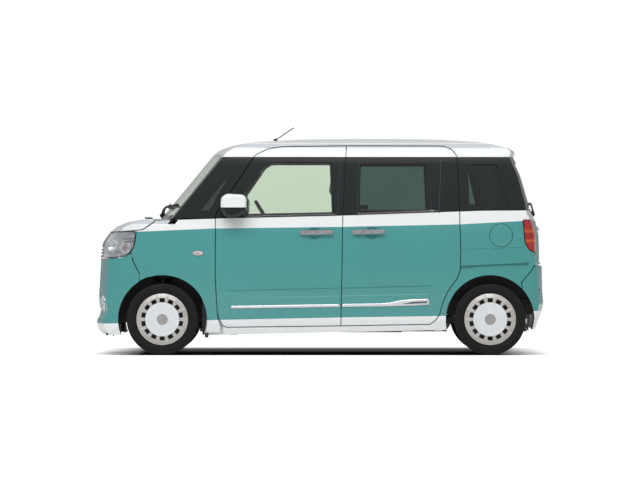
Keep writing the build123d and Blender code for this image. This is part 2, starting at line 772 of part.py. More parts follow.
rail_rows = [
    (cp + 8.0, 646.0, 0.0),
    (cp + 8.0, 668.0, 0.0),
    (tail_x - 135.0, 693.0, 0.0),
    (tail_x - 135.0, 671.0, 0.0),
]
rail_groove = less(prism(rail_rows, -side_y, -500.0), cabin_form(groove_t))
jack_z = 148.0
jack_x = (ap + 133.0, cp - 155.0)
jack_y = half_w - 67.5
with BuildPart() as side_frames:
    add(frame_left.part)
    add(rail_groove, mode=Mode.SUBTRACT)
    for z in hinge_heights:
        add(door_hinge(z))
    add(box(jack_x[0] - 30.0, jack_x[0] + 30.0, -jack_y - 14.0, -jack_y + 14.0,
            jack_z, jack_z + 60.0))
    add(box(jack_x[1] - 30.0, jack_x[1] + 30.0, -jack_y - 14.0, -jack_y + 14.0,
            jack_z + 32.0, jack_z + 80.0))
    mirror(about=Plane.XZ)
    add(fuel_cup, mode=Mode.SUBTRACT)
    add(rod((fuel_pin_x, fuel_pin_y, fuel_z - 13.0), (fuel_pin_x, fuel_pin_y, fuel_z + 13.0),
            fuel_pin_r + 1.5), mode=Mode.SUBTRACT)
    for z in (fuel_z - 20.0, fuel_z + 13.0):
        add(rod((fuel_pin_x, fuel_pin_y, z), (fuel_pin_x, fuel_pin_y, z + 7.0), fuel_pin_r))
side_frames.part.label = "side_frames"
export_step(side_frames.part, "parts/side_frames.step")

fuel_lid_skin = panel(cabin, cabin_section(fuel_lid_t), fuel_lid_outer)
with BuildPart() as fuel_lid:
    add(fuel_lid_skin)
    add(rod((fuel_pin_x, fuel_pin_y, fuel_z - 12.0), (fuel_pin_x, fuel_pin_y, fuel_z + 12.0),
            fuel_pin_r))
fuel_lid.part.label = "fuel_lid"
export_step(fuel_lid.part, "parts/fuel_lid.step")

# ---------------------------------------------------------------- tail panels
tail_glass_rows = [
    (555.0, 1096.0, 30.0),
    (505.0, 1440.0, 50.0),
]
tail_glass_zone = across(tail_glass_rows, roof_rear_x, tail_x + 40)
rear_plate_z = 850.0
with BuildPart() as tailgate:
    add(cabin)
    add(tail_inner, mode=Mode.SUBTRACT)
    add(tail_zone, mode=Mode.INTERSECT)
    add(tail_glass_zone, mode=Mode.SUBTRACT)
    for side in (-1, 1):
        add(leaf(side * 255.0 - 13.0, side * 255.0 + 13.0, hatch_pin_x, hatch_pin_x + 30.0))
    with BuildSketch(Plane.YZ.offset(tail_x + 10)):
        with Locations((-plate_spacing / 2, rear_plate_z), (plate_spacing / 2, rear_plate_z)):
            Circle(plate_hole_r)
    extrude(amount=-80.0, mode=Mode.SUBTRACT)
tailgate.part.label = "tailgate"
export_step(tailgate.part, "parts/tailgate.step")

pane_inner = cabin_form(9.0 + screen_t)
pane_outer = cabin_form(9.0)
with BuildPart() as tailgate_glass:
    add(pane_outer)
    add(pane_inner, mode=Mode.SUBTRACT)
    add(tail_glass_zone, mode=Mode.INTERSECT)
tailgate_glass.part.label = "tailgate_glass"
export_step(tailgate_glass.part, "parts/tailgate_glass.step")


tail_lamp_zone = prism(tail_lamp_rows, -side_y, -552.0, -seam)
tail_lamp_left = panel(cabin, cabin_form(60.0), tail_lamp_zone, tail_opening)
with BuildPart() as tail_lamps:
    add(tail_lamp_left)
    mirror(about=Plane.XZ)
tail_lamps.part.label = "tail_lamps"
export_step(tail_lamps.part, "parts/tail_lamps.step")

rear_bumper_zone = prism(rear_bumper_rows, -side_y, side_y, -seam)
with BuildPart() as rear_bumper:
    add(cabin)
    add(cabin_form(cover_t), mode=Mode.SUBTRACT)
    add(rear_bumper_zone, mode=Mode.INTERSECT)
    add(sill_cut, mode=Mode.SUBTRACT)
    add(rear_arch, mode=Mode.SUBTRACT)
rear_bumper.part.label = "rear_bumper"
export_step(rear_bumper.part, "parts/rear_bumper.step")

tail_frame_ring = across([(630.0, 420.0, 0.0), (630.0, 1000.0, 0.0), (560.0, 1500.0, 0.0)],
                         roof_rear_x + 60, tail_x)
tail_frame_hole = across([(500.0, 704.0, 60.0), (520.0, 1050.0, 0.0), (470.0, 1430.0, 60.0)],
                         roof_rear_x + 60, tail_x)
# Corner skins between the tail lamps, the tailgate and the rear bumper.
corner_zone = across([(half_w, 672.0, 0.0), (half_w, 1034.0, 0.0)], tail_x - 260.0, tail_x + 60)
corner_lamp_cuts = less(prism(tail_lamp_rows, -side_y, -520.0, seam), lamp_depth_inner)
corner_skin = panel(cabin, cabin_form(tailgate_t + 14.0), corner_zone, tail_opening, rear_arch,
                    rear_bumper_pocket, corner_lamp_cuts, mirrored(corner_lamp_cuts))
tail_room_form = cabin_form(tailgate_t + 34.0)
tail_room = tail_room_form + box(nose_x, roof_rear_x, -half_w, half_w, 100.0, height)
with BuildPart() as tail_frame:
    add(cabin_form(tailgate_t + 12.0))
    add(tail_room, mode=Mode.SUBTRACT)
    add(tail_frame_ring, mode=Mode.INTERSECT)
    add(tail_frame_hole, mode=Mode.SUBTRACT)
    add(rear_arch, mode=Mode.SUBTRACT)
    add(corner_skin)
    add(side_inner, mode=Mode.INTERSECT)
tail_frame.part.label = "tail_frame"
export_step(tail_frame.part, "parts/tail_frame.step")

# ---------------------------------------------------------------- doors
front_door_zone = prism(front_door_rows, -side_y, -door_top_y, -seam)
slide_door_zone = prism(slide_door_rows, -side_y, -door_top_y, -seam)
front_glass_zone = prism(front_glass_rows, -side_y, -400.0)
slide_glass_zone = prism(slide_glass_rows, -side_y, -400.0)
rabbet_rows = [
    (bp + 2.0 - rabbet_w, belt_z, 0.0),
    (bp + 29.0 - rabbet_w, 1569.0, 0.0),
    (bp + 29.0 - rabbet_w, 1620.0, 0.0),
    (bp + 60.0, 1620.0, 0.0),
    (bp + 60.0, belt_z, 0.0),
]
door_rabbet = prism(rabbet_rows, -side_y, -300.0) & cabin_section(flange_t)
front_door = panel(cabin, door_inner, front_door_zone, front_glass_zone, door_rabbet)
slide_door = panel(cabin, door_inner, slide_door_zone, slide_glass_zone)
crease_rows = [
    (ap + 109.0, 476.0, 0.0),
    (ap + 109.0, 486.0, 0.0),
    (cp - 210.0, 522.0, 0.0),
    (cp - 210.0, 512.0, 0.0),
]
door_crease = less(prism(crease_rows, -side_y, -600.0), cabin_section(crease_t))
recess_ball_r = (recess_r ** 2 + recess_t ** 2) / (2 * recess_t)
recess_y = half_w - 8.0 - recess_t + recess_ball_r
front_recess = (ap + 743.0, -recess_y, 910.0)
slide_recess = (bp + 221.0, -recess_y, 914.0)
with BuildPart() as door_left_form:
    add(front_door)
    add(door_crease, mode=Mode.SUBTRACT)
    with Locations(front_recess):
        Sphere(recess_ball_r, mode=Mode.SUBTRACT)
    for z in hinge_heights:
        add(box(ap - 5.0, door_pin_x + 9.0, -door_pin_y - 7.0, -half_w + door_t + 14.0,
                z - knuckle_half - 4.0, z + knuckle_half + 4.0), mode=Mode.SUBTRACT)
        add(rod((door_pin_x, -door_pin_y, z - knuckle_half - 8.0),
                (door_pin_x, -door_pin_y, z + knuckle_half + 8.0), door_pin_r))
with BuildPart() as door_front_left:
    add(door_left_form.part)
door_front_left.part.label = "door_front_left"
export_step(door_front_left.part, "parts/door_front_left.step")
with BuildPart() as door_front_right:
    add(mirrored(door_left_form.part))
door_front_right.part.label = "door_front_right"
export_step(door_front_right.part, "parts/door_front_right.step")
with BuildPart() as sliding_doors:
    add(slide_door)
    add(door_crease, mode=Mode.SUBTRACT)
    with Locations(slide_recess):
        Sphere(recess_ball_r, mode=Mode.SUBTRACT)
    mirror(about=Plane.XZ)
sliding_doors.part.label = "sliding_doors"
export_step(sliding_doors.part, "parts/sliding_doors.step")
front_pane = panel(glass_outer, glass_inner, front_glass_zone)
slide_pane = panel(glass_outer, glass_inner, slide_glass_zone)
quarter_pane = panel(glass_outer, glass_inner, prism(quarter_glass_rows, -side_y, -400.0))
vent_pane = panel(glass_outer, glass_inner, prism(vent_glass_rows, -side_y, -400.0))
with BuildPart() as privacy_glass:
    add(slide_pane)
    add(quarter_pane)
    mirror(about=Plane.XZ)
privacy_glass.part.label = "privacy_glass"
export_step(privacy_glass.part, "parts/privacy_glass.step")
with BuildPart() as vent_glass:
    add(vent_pane)
    mirror(about=Plane.XZ)
vent_glass.part.label = "vent_glass"
export_step(vent_glass.part, "parts/vent_glass.step")

# ---------------------------------------------------------------- floor and wheel houses
def sheet(chain, thickness, y0, y1):
    """Bent sheet: an open chain of (x, z, r) rows, thickened to its right."""
    return prism(list(chain) + list(reversed(inset(chain, thickness))), y0, y1)


floor_chain = [
    (nose_x + 400.0, 902.0, 0.0),
    (nose_x + 720.0, 872.0, 0.0),
    (nose_x + 810.0, 640.0, 0.0),
    (nose_x + 830.0, floor_z + floor_t, 0.0),
    (rx - 470.0, floor_z + floor_t, 0.0),
    (rx - 380.0, 452.0, 0.0),
    (tail_x - 90.0, 452.0, 0.0),
]
floor_sheet = sheet(floor_chain, floor_t, -half_w, half_w)
front_side_trim = box(nose_x, nose_x + 792.0, -half_w, half_w, 100.0, 1000.0) \
    - box(nose_x, nose_x + 792.0, -600.0, 600.0, 100.0, 1000.0)
kingpin_tilt = 12.0
kingpin_y = wheel_y - 67.0          # at the height of the axle
strut_low = 415.0
strut_high = 800.0
hub_gap = 0.5
house_r = arch_r + 10.0
house_t = 20.0
front_house_y = 418.0          # inner face, clear of the turned wheel
rear_house_y = 480.0


def wheel_house(axle_x, inner_y, outer_y):
    """Liner over a wheel: half drum with a flat wall on its inner side."""
    with BuildPart(mode=Mode.PRIVATE) as house:
        with BuildSketch(Plane.XZ.offset(inner_y - house_t)):
            with Locations((axle_x, tyre_r - 3.0)):
                Circle(house_r + house_t)
        extrude(amount=outer_y - inner_y + house_t)
        with BuildSketch(Plane.XZ.offset(inner_y)):
            with Locations((axle_x, tyre_r - 3.0)):
                Circle(house_r)
        extrude(amount=outer_y - inner_y + 5.0, mode=Mode.SUBTRACT)
        add(low_box, mode=Mode.SUBTRACT)
    return house.part


low_box = box(nose_x - 50, tail_x + 50, -side_y, side_y, -200.0, floor_z + 35.0)
front_house = wheel_house(ax, front_house_y, 640.0)
rear_house = wheel_house(rx, rear_house_y, 642.0)
house_cut = arch(rx, house_r + house_t, -side_y, -rear_house_y + house_t)
front_house_cut = arch(ax, house_r + house_t, -side_y, -front_house_y + house_t)
with BuildPart() as floor_pan:
    add(floor_sheet)
    add(front_side_trim, mode=Mode.SUBTRACT)
    add(cabin_section(wall_t), mode=Mode.INTERSECT)
    add(tail_room, mode=Mode.INTERSECT)
    add(house_cut, mode=Mode.SUBTRACT)
    add(mirrored(house_cut), mode=Mode.SUBTRACT)
    add(front_house_cut, mode=Mode.SUBTRACT)
    add(mirrored(front_house_cut), mode=Mode.SUBTRACT)
floor_pan.part.label = "floor_pan"
export_step(floor_pan.part, "parts/floor_pan.step")

skin_limit = nose_form(fender_t + 2.0) + cabin_form(fender_t + 2.0)
tower_r = 60.0
tower_low = 560.0
tower_high = strut_high + 2.0


def kingpin(z):
    """Distance of the steering axis from the car's middle, at height z."""
    return kingpin_y - (z - tyre_r) * tan(radians(kingpin_tilt))


tower = rod((ax, -kingpin(tower_low), tower_low), (ax, -kingpin(tower_high + 12.0), tower_high + 12.0),
            tower_r + 14.0)
tower_bore = rod((ax, -kingpin(tower_low - 60.0), tower_low - 60.0),
                 (ax, -kingpin(tower_high), tower_high), tower_r)
arm_room = box(rx - 400.0, rx + 400.0, -580.0, 0.0, 0.0, 310.0)
rear_low = box(rx - 400.0, rx + 400.0, -rear_house_y - 2.0, 0.0, 0.0, 426.0)
with BuildPart() as wheel_houses:
    add(front_house & skin_limit)
    add(tower)
    add(tower_bore, mode=Mode.SUBTRACT)
    add(less(rear_house & side_inner & tail_room, rear_low, arm_room))
    mirror(about=Plane.XZ)
    add(side_frames.part, mode=Mode.SUBTRACT)
wheel_houses.part.label = "wheel_houses"
export_step(wheel_houses.part, "parts/wheel_houses.step")

# Front structure: rails, cross member behind the bumper, strut towers.
rail_y = 370.0
with BuildPart() as front_structure:
    for side in (-1, 1):
        add(box(nose_x + 112.0, nose_x + 788.0, side * rail_y - 26.0, side * rail_y + 26.0,
                390.0, 480.0))
        add(box(nose_x + 720.0, nose_x + 770.0, side * rail_y - 20.0, side * rail_y + 20.0,
                225.0, 400.0))
        add(box(nose_x + 112.0, nose_x + 140.0, side * 415.0 - 15.0, side * 415.0 + 15.0,
                470.0, 730.0))
    add(box(nose_x + 84.0, nose_x + 113.0, -408.0, 408.0, 380.0, 490.0))
    add(box(nose_x + 112.0, nose_x + 140.0, -430.0, 430.0, 700.0, 722.0))
front_structure.part.label = "front_structure"
export_step(front_structure.part, "parts/front_structure.step")

# ---------------------------------------------------------------- wheels and suspension
rim_rows = [
    (-62.0, rim_r - 3.0, 0.0),
    (-62.0, rim_r - 24.0, 0.0),
    (-32.0, rim_r - 30.0, 0.0),
    (-32.0, hub_r + 6.0, 0.0),
    (-46.0, hub_r - 4.0, 0.0),
    (-46.0, 22.0, 0.0),
    (-34.0, 22.0, 0.0),
    (-34.0, hub_r - 8.0, 0.0),
    (-20.0, hub_r + 2.0, 0.0),
    (-20.0, rim_r - 30.0, 0.0),
    (60.0, rim_r - 24.0, 0.0),
    (60.0, rim_r - 3.0, 0.0),
    (55.0, rim_r - 3.0, 0.0),
    (55.0, rim_r - 16.0, 0.0),
    (-57.0, rim_r - 16.0, 0.0),
    (-57.0, rim_r - 3.0, 0.0),
]
tyre_rows = [
    # y in from the outer side of the middle, radius, corner radius
    (-57.0, rim_r - 16.0, 0.0),
    (-57.0, rim_r - 2.0, 0.0),
    (-tyre_w / 2 + 8.0, rim_r + 2.0, 0.0),
    (-tyre_w / 2, rim_r + 32.0, 14.0),
    (-tyre_w / 2 + 3.0, tyre_r - 16.0, 10.0),
    (-tyre_w / 2 + 22.0, tyre_r, 10.0),
    (tyre_w / 2 - 22.0, tyre_r, 10.0),
    (tyre_w / 2 - 3.0, tyre_r - 16.0, 10.0),
    (tyre_w / 2, rim_r + 32.0, 14.0),
    (tyre_w / 2 - 8.0, rim_r + 2.0, 0.0),
    (55.0, rim_r - 2.0, 0.0),
    (55.0, rim_r - 16.0, 0.0),
]


def turned(rows, axle_x, wheel_side):
    """Solid of revolution about a wheel's axle; wheel_side is -1 left, 1 right."""
    loop_rows = [(wheel_side * (wheel_y - y), tyre_r + r, c) for y, r, c in rows]
    points, radii = loop(loop_rows)
    with BuildPart(mode=Mode.PRIVATE) as block:
        with BuildSketch(Plane.YZ.offset(axle_x)):
            with BuildLine():
                FilletPolyline(*points, radius=radii, close=True)
            make_face()
        revolve(axis=Axis((axle_x, 0, tyre_r), (0, 1, 0)))
    return block.part


cover_rows = [
    (-62.0, rim_r - 3.0, 0.0),
    (-66.0, rim_r - 3.0, 0.0),
    (-74.0, 165.0, 6.0),
    (-75.0, 121.0, 20.0),
    (-72.0, 44.0, 6.0),
    (-76.0, 40.0, 2.0),
    (-76.0, 0.0, 0.0),
    (-70.0, 0.0, 0.0),
    (-68.0, 44.0, 0.0),
    (-71.0, 121.0, 0.0),
    (-70.0, 165.0, 0.0),
]
slots = 14
slot_inner_r = 128.0
slot_outer_r = 158.0
slot_w = 38.0


def wheel(axle_x, wheel_side):
    """Tyre, rim and cover of one wheel."""
    tyre = turned(tyre_rows, axle_x, wheel_side)
    rim = turned(rim_rows, axle_x, wheel_side)
    face_y = -wheel_side * (wheel_y + 60.0)
    with BuildPart(mode=Mode.PRIVATE) as cover:
        add(turned(cover_rows, axle_x, wheel_side))
        with BuildSketch(Plane.XZ.offset(face_y)):
            with Locations((axle_x, tyre_r)):
                with PolarLocations((slot_inner_r + slot_outer_r) / 2, slots, 90.0):
                    Rectangle(slot_outer_r - slot_inner_r, slot_w)
        extrude(amount=-wheel_side * 30.0, mode=Mode.SUBTRACT)
    return tyre, rim, cover.part


wheel_fl = wheel(ax, -1)
wheel_fr = wheel(ax, 1)
wheel_rl = wheel(rx, -1)
wheel_rr = wheel(rx, 1)

# Front knuckles: hub, brake disc, upright and the strut that turns with it.


disc_rows = [
    (-34.0 + hub_gap, 0.0, 0.0),
    (-34.0 + hub_gap, hub_r - 10.0, 0.0),
    (-24.0, hub_r - 8.0, 0.0),
    (-10.0, hub_r - 6.0, 0.0),
    (-10.0, 118.0, 0.0),
    (6.0, 118.0, 0.0),
    (6.0, 40.0, 0.0),
    (50.0, 34.0, 0.0),
    (50.0, 0.0, 0.0),
]
knuckle_disc = turned(disc_rows, ax, -1)
strut = rod((ax, -kingpin(strut_low), strut_low), (ax, -kingpin(strut_high), strut_high), 20.0)
strut_spring = rod((ax, -kingpin(610.0), 610.0), (ax, -kingpin(780.0), 780.0), 44.0)
with BuildPart() as knuckle_left:
    add(knuckle_disc)
    add(box(ax - 26.0, ax + 26.0, -wheel_y + 40.0, -wheel_y + 86.0, tyre_r - 60.0, tyre_r + 60.0))
    add(prism([(ax - 26.0, tyre_r + 40.0, 0.0), (ax + 26.0, tyre_r + 40.0, 0.0),
               (ax + 16.0, strut_low + 60.0, 0.0), (ax - 16.0, strut_low + 60.0, 0.0)],
              -wheel_y + 78.0, -wheel_y + 120.0))
    add(strut)
    add(strut_spring)
knuckle_left.part.label = "knuckle_left"
export_step(knuckle_left.part, "parts/knuckle_left.step")
with BuildPart() as knuckle_right:
    add(mirrored(knuckle_left.part))
knuckle_right.part.label = "knuckle_right"
export_step(knuckle_right.part, "parts/knuckle_right.step")

# Lower arms, fixed at ride height, with the steering rack behind them.
arm_rows = [
    # x, y, corner radius
    (ax - 30.0, -kingpin(200.0) + 18.0, 10.0),
    (ax + 30.0, -kingpin(200.0) + 18.0, 10.0),
    (ax + 190.0, -392.0, 10.0),
    (ax + 150.0, -392.0, 10.0),
    (ax + 30.0, -480.0, 30.0),
    (ax + 10.0, -392.0, 10.0),
    (ax - 40.0, -392.0, 10.0),
]
arm_points, arm_radii = loop(arm_rows)
with BuildPart() as front_subframe:
    with BuildSketch(Plane.XY.offset(186.0)):
        with BuildLine():
            FilletPolyline(*arm_points, radius=arm_radii, close=True)
        make_face()
    extrude(amount=18.0)
    mirror(about=Plane.XZ)
    add(box(ax - 50.0, ax + 40.0, -396.0, 396.0, 180.0, 224.0))
    add(box(ax + 140.0, ax + 200.0, -396.0, 396.0, 180.0, 224.0))
    for side in (-1, 1):
        add(box(ax + 30.0, ax + 270.0, side * rail_y - 26.0, side * rail_y + 26.0, 180.0, 224.0))
front_subframe.part.label = "front_subframe"
export_step(front_subframe.part, "parts/front_subframe.step")

# Rear axle: drums on a cross beam with two trailing arms.
drum_rows = [
    (-34.0 + hub_gap, 0.0, 0.0),
    (-34.0 + hub_gap, hub_r - 10.0, 0.0),
    (-20.0, hub_r - 6.0, 0.0),
    (-14.0, 104.0, 6.0),
    (28.0, 106.0, 0.0),
    (28.0, 0.0, 0.0),
]
beam_z = tyre_r - 8.0
with BuildPart() as rear_axle:
    add(turned(drum_rows, rx, -1))
    add(box(rx - 40.0, rx + 40.0, -wheel_y + 27.0, -wheel_y + 118.0, beam_z - 26.0, beam_z + 34.0))
    add(box(rx - 420.0, rx - 30.0, -wheel_y + 95.0, -wheel_y + 140.0, beam_z - 24.0, beam_z + 26.0))
    mirror(about=Plane.XZ)
    add(rod((rx - 24.0, -wheel_y + 100.0, beam_z), (rx - 24.0, wheel_y - 100.0, beam_z), 34.0))
    add(floor_pan.part, mode=Mode.SUBTRACT)
rear_axle.part.label = "rear_axle"
export_step(rear_axle.part, "parts/rear_axle.step")

# ---------------------------------------------------------------- running gear and cabin
with BuildPart() as engine:
    add(box(nose_x + 190.0, nose_x + 560.0, -310.0, 300.0, 262.0, 700.0))
engine.part.label = "engine"
export_step(engine.part, "parts/engine.step")

tank_rows = [
    (120.0, floor_z - 0.0, 0.0),
    (640.0, floor_z - 0.0, 0.0),
    (620.0, floor_z - 42.0, 14.0),
    (140.0, floor_z - 42.0, 14.0),
]
with BuildPart() as fuel_tank:
    add(prism(tank_rows, -330.0, 260.0))
fuel_tank.part.label = "fuel_tank"
export_step(fuel_tank.part, "parts/fuel_tank.step")

with BuildPart() as exhaust:
    add(rod((ax + 260.0, 300.0, floor_z - 24.0), (rx - 300.0, 300.0, floor_z - 24.0), 22.0))
    add(rod((rx - 320.0, 300.0, floor_z - 24.0), (rx - 210.0, 300.0, 348.0), 22.0))
    add(rod((rx - 216.0, 300.0, 345.0), (rx + 120.0, 300.0, 345.0), 22.0))
    add(rod((rx + 110.0, 260.0, 330.0), (rx + 330.0, 260.0, 330.0), 72.0))
    add(rod((rx + 250.0, 260.0, 290.0), (tail_x - 112.0, 260.0, 166.0), 20.0))
exhaust.part.label = "exhaust"
export_step(exhaust.part, "parts/exhaust.step")

dash_rows = [
    (ap - 150.0, 1030.0, 20.0),
    (ap + 40.0, 1040.0, 60.0),
    (ap + 130.0, 985.0, 60.0),
    (ap + 110.0, 860.0, 60.0),
    (ap + 40.0, 780.0, 30.0),
    (ap + 60.0, 620.0, 20.0),
    (ap - 60.0, 620.0, 0.0),
    (ap - 120.0, 900.0, 0.0),
]
dash_zone = prism(dash_rows, -half_w, half_w)

# Steering wheel and its column, on the right.
helm_y = 330.0
helm_r = 180.0
helm_tilt = 31.0
helm_x = ap + 384.0
helm_z = 1000.0
helm_plane = Plane(origin=(helm_x, helm_y, helm_z),
                   z_dir=(cos(radians(helm_tilt)), 0, sin(radians(helm_tilt))),
                   x_dir=(0, 1, 0))
shroud_start = 80.0            # the fixed column begins this far ahead of the wheel's rim
with BuildPart() as dashboard:
    add(dash_zone)
    add(cabin_section(wall_t + 8.0), mode=Mode.INTERSECT)
    add(rod(tuple(helm_plane.from_local_coords((0, 0, -shroud_start))),
            tuple(helm_plane.from_local_coords((0, 0, -shroud_start - 265.0))), 40.0))
dashboard.part.label = "dashboard"
export_step(dashboard.part, "parts/dashboard.step")

with BuildPart() as steering_wheel:
    with BuildSketch(Plane(origin=helm_plane.from_local_coords((helm_r, 0, 0)),
                           z_dir=helm_plane.y_dir, x_dir=helm_plane.x_dir)):
        Circle(14.0)
    revolve(axis=Axis(helm_plane.origin, helm_plane.z_dir))
    with BuildSketch(helm_plane.offset(-12.0)):
        with Locations((0, -4)):
            RectangleRounded(150.0, 110.0, 30.0)
        with Locations((0, 0)):
            Rectangle(2 * helm_r - 16.0, 34.0)
        with Locations((0, -90)):
            Rectangle(34.0, 2 * 78.0)
    extrude(amount=24.0)
    with BuildSketch(helm_plane.offset(-12.0)):
        Circle(30.0)
    extrude(amount=12.0 - shroud_start + 6.0)
steering_wheel.part.label = "steering_wheel"
export_step(steering_wheel.part, "parts/steering_wheel.step")

# Seats: two in front and a bench behind; plain closed cushions.
seat_rows = [
    (ap + 470.0, 505.0, 30.0),
    (ap + 470.0, 600.0, 40.0),
    (ap + 800.0, 590.0, 40.0),
    (ap + 900.0, 1150.0, 40.0),
    (ap + 990.0, 1150.0, 40.0),
    (ap + 950.0, 560.0, 60.0),
    (ap + 900.0, 470.0, 40.0),
]
head_rows = [
    (ap + 848.0, 1190.0, 30.0),
    (ap + 866.0, 1350.0, 30.0),
    (ap + 950.0, 1350.0, 30.0),
    (ap + 962.0, 1190.0, 30.0),
]
bench_rows = [(x + 880.0, z, r) for x, z, r in seat_rows]
bench_head_rows = [(x + 880.0, z - 30.0, r) for x, z, r in head_rows]
seat_spans = ((-560.0, -80.0), (80.0, 560.0))
bench_spans = ((-450.0, -15.0), (15.0, 450.0))
with BuildPart() as seats:
    for y0, y1 in seat_spans:
        add(prism(seat_rows, y0, y1))
        add(prism(head_rows, (y0 + y1) / 2 - 125.0, (y0 + y1) / 2 + 125.0))
    for y0, y1 in bench_spans:
        add(prism(bench_rows, y0, y1))
        add(prism(bench_head_rows, (y0 + y1) / 2 - 115.0, (y0 + y1) / 2 + 115.0))
seats.part.label = "seats"
export_step(seats.part, "parts/seats.step")

with BuildPart() as seat_frames:
    for y0, y1 in seat_spans:
        for y in (y0 + 60.0, y1 - 60.0):
            add(box(ap + 540.0, ap + 880.0, y - 20.0, y + 20.0, floor_z + floor_t, 500.0))
    for y0, y1 in bench_spans:
        for y in (y0 + 60.0, y1 - 60.0):
            add(box(ap + 1400.0, ap + 1575.0, y - 20.0, y + 20.0, floor_z + floor_t, 500.0))
            add(box(ap + 1400.0, ap + 1800.0, y - 20.0, y + 20.0, 452.0, 500.0))
    for spans, dx in ((seat_spans, 0.0), (bench_spans, 880.0)):
        for y0, y1 in spans:
            for off in (-60.0, 60.0):
                add(rod((ap + 940.0 + dx, (y0 + y1) / 2 + off, 1130.0 - dx * 0.03),
                        (ap + 908.0 + dx, (y0 + y1) / 2 + off, 1210.0 - dx * 0.03), 6.0))
    add(seats.part, mode=Mode.SUBTRACT)
seat_frames.part.label = "seat_frames"
export_step(seat_frames.part, "parts/seat_frames.step")

# ---------------------------------------------------------------- mirrors, handles, small pieces
mirror_rows = [
    (ap + 40.0, 1092.0, 40.0),
    (ap + 44.0, 1180.0, 40.0),
    (ap + 90.0, 1208.0, 40.0),
    (ap + 215.0, 1200.0, 40.0),
    (ap + 234.0, 1170.0, 30.0),
    (ap + 232.0, 1060.0, 40.0),
    (ap + 130.0, 1020.0, 40.0),
    (ap + 70.0, 1040.0, 40.0),
]
mirror_y = half_w + 20.0
with BuildPart() as mirror_left:
    add(prism(mirror_rows, -mirror_y - 110.0, -mirror_y))
    fillet(mirror_left.edges().filter_by(Plane.XZ), radius=24.0)
    add(box(ap + 60.0, ap + 130.0, -mirror_y - 20.0, -half_w + 32.0, 1062.0, 1092.0))
    add(cabin, mode=Mode.SUBTRACT)
mirror_left.part.label = "mirror_left"
export_step(mirror_left.part, "parts/mirror_left.step")
with BuildPart() as mirror_right:
    add(mirrored(mirror_left.part))
mirror_right.part.label = "mirror_right"
export_step(mirror_right.part, "parts/mirror_right.step")

handle_rows = [
    (ap + 635.0, 900.0, 14.0),
    (ap + 635.0, 934.0, 14.0),
    (ap + 880.0, 938.0, 14.0),
    (ap + 880.0, 904.0, 14.0),
]
slide_handle_rows = [(x + 388.0, z + 4.0, r) for x, z, r in handle_rows]


def pull(rows):
    """Bar handle standing off the skin on two feet."""
    (x0, z0, _), _, (x1, z1, _), _ = rows
    bar = prism(rows, -half_w - 24.0, -half_w - 8.0)
    with BuildPart(mode=Mode.PRIVATE) as handle:
        add(bar)
        add(box(x0 + 8.0, x0 + 40.0, -half_w - 12.0, -half_w + 20.0, z0 + 6.0, z1 - 8.0))
        add(box(x1 - 40.0, x1 - 8.0, -half_w - 12.0, -half_w + 20.0, z0 + 6.0, z1 - 8.0))
        add(cabin, mode=Mode.SUBTRACT)
    return handle.part


front_pull = pull(handle_rows)
slide_pull = pull(slide_handle_rows)
with BuildPart() as door_handle_left:
    add(front_pull)
door_handle_left.part.label = "door_handle_left"
export_step(door_handle_left.part, "parts/door_handle_left.step")
with BuildPart() as door_handle_right:
    add(mirrored(front_pull))
door_handle_right.part.label = "door_handle_right"
export_step(door_handle_right.part, "parts/door_handle_right.step")
with BuildPart() as sliding_handles:
    add(slide_pull)
    mirror(about=Plane.XZ)
sliding_handles.part.label = "sliding_handles"
export_step(sliding_handles.part, "parts/sliding_handles.step")
with BuildPart() as door_glass_left:
    add(front_pane)
door_glass_left.part.label = "door_glass_left"
export_step(door_glass_left.part, "parts/door_glass_left.step")
with BuildPart() as door_glass_right:
    add(mirrored(front_pane))
door_glass_right.part.label = "door_glass_right"
export_step(door_glass_right.part, "parts/door_glass_right.step")

with BuildPart() as antenna:
    add(rod((ap + 448.0, 0.0, 1612.0), (ap + 440.0, 0.0, 1632.0), 14.0))
    add(rod((ap + 444.0, 0.0, 1622.0), (ap + 582.0, 0.0, 1717.0), 3.5))
    add(cabin, mode=Mode.SUBTRACT)
antenna.part.label = "antenna"
export_step(antenna.part, "parts/antenna.step")


# ---------------------------------------------------------------- wheels, piece by piece
with BuildPart() as tyre_front_left:
    add(wheel_fl[0])
tyre_front_left.part.label = "tyre_front_left"
export_step(tyre_front_left.part, "parts/tyre_front_left.step")
with BuildPart() as rim_front_left:
    add(wheel_fl[1])
rim_front_left.part.label = "rim_front_left"
export_step(rim_front_left.part, "parts/rim_front_left.step")
with BuildPart() as cover_front_left:
    add(wheel_fl[2])
cover_front_left.part.label = "cover_front_left"
export_step(cover_front_left.part, "parts/cover_front_left.step")
with BuildPart() as tyre_front_right:
    add(wheel_fr[0])
tyre_front_right.part.label = "tyre_front_right"
export_step(tyre_front_right.part, "parts/tyre_front_right.step")
with BuildPart() as rim_front_right:
    add(wheel_fr[1])
rim_front_right.part.label = "rim_front_right"
export_step(rim_front_right.part, "parts/rim_front_right.step")
with BuildPart() as cover_front_right:
    add(wheel_fr[2])
cover_front_right.part.label = "cover_front_right"
export_step(cover_front_right.part, "parts/cover_front_right.step")
with BuildPart() as tyre_rear_left:
    add(wheel_rl[0])
tyre_rear_left.part.label = "tyre_rear_left"
export_step(tyre_rear_left.part, "parts/tyre_rear_left.step")
with BuildPart() as rim_rear_left:
    add(wheel_rl[1])
rim_rear_left.part.label = "rim_rear_left"
export_step(rim_rear_left.part, "parts/rim_rear_left.step")
with BuildPart() as cover_rear_left:
    add(wheel_rl[2])
cover_rear_left.part.label = "cover_rear_left"
export_step(cover_rear_left.part, "parts/cover_rear_left.step")
with BuildPart() as tyre_rear_right:
    add(wheel_rr[0])
tyre_rear_right.part.label = "tyre_rear_right"
export_step(tyre_rear_right.part, "parts/tyre_rear_right.step")
with BuildPart() as rim_rear_right:
    add(wheel_rr[1])
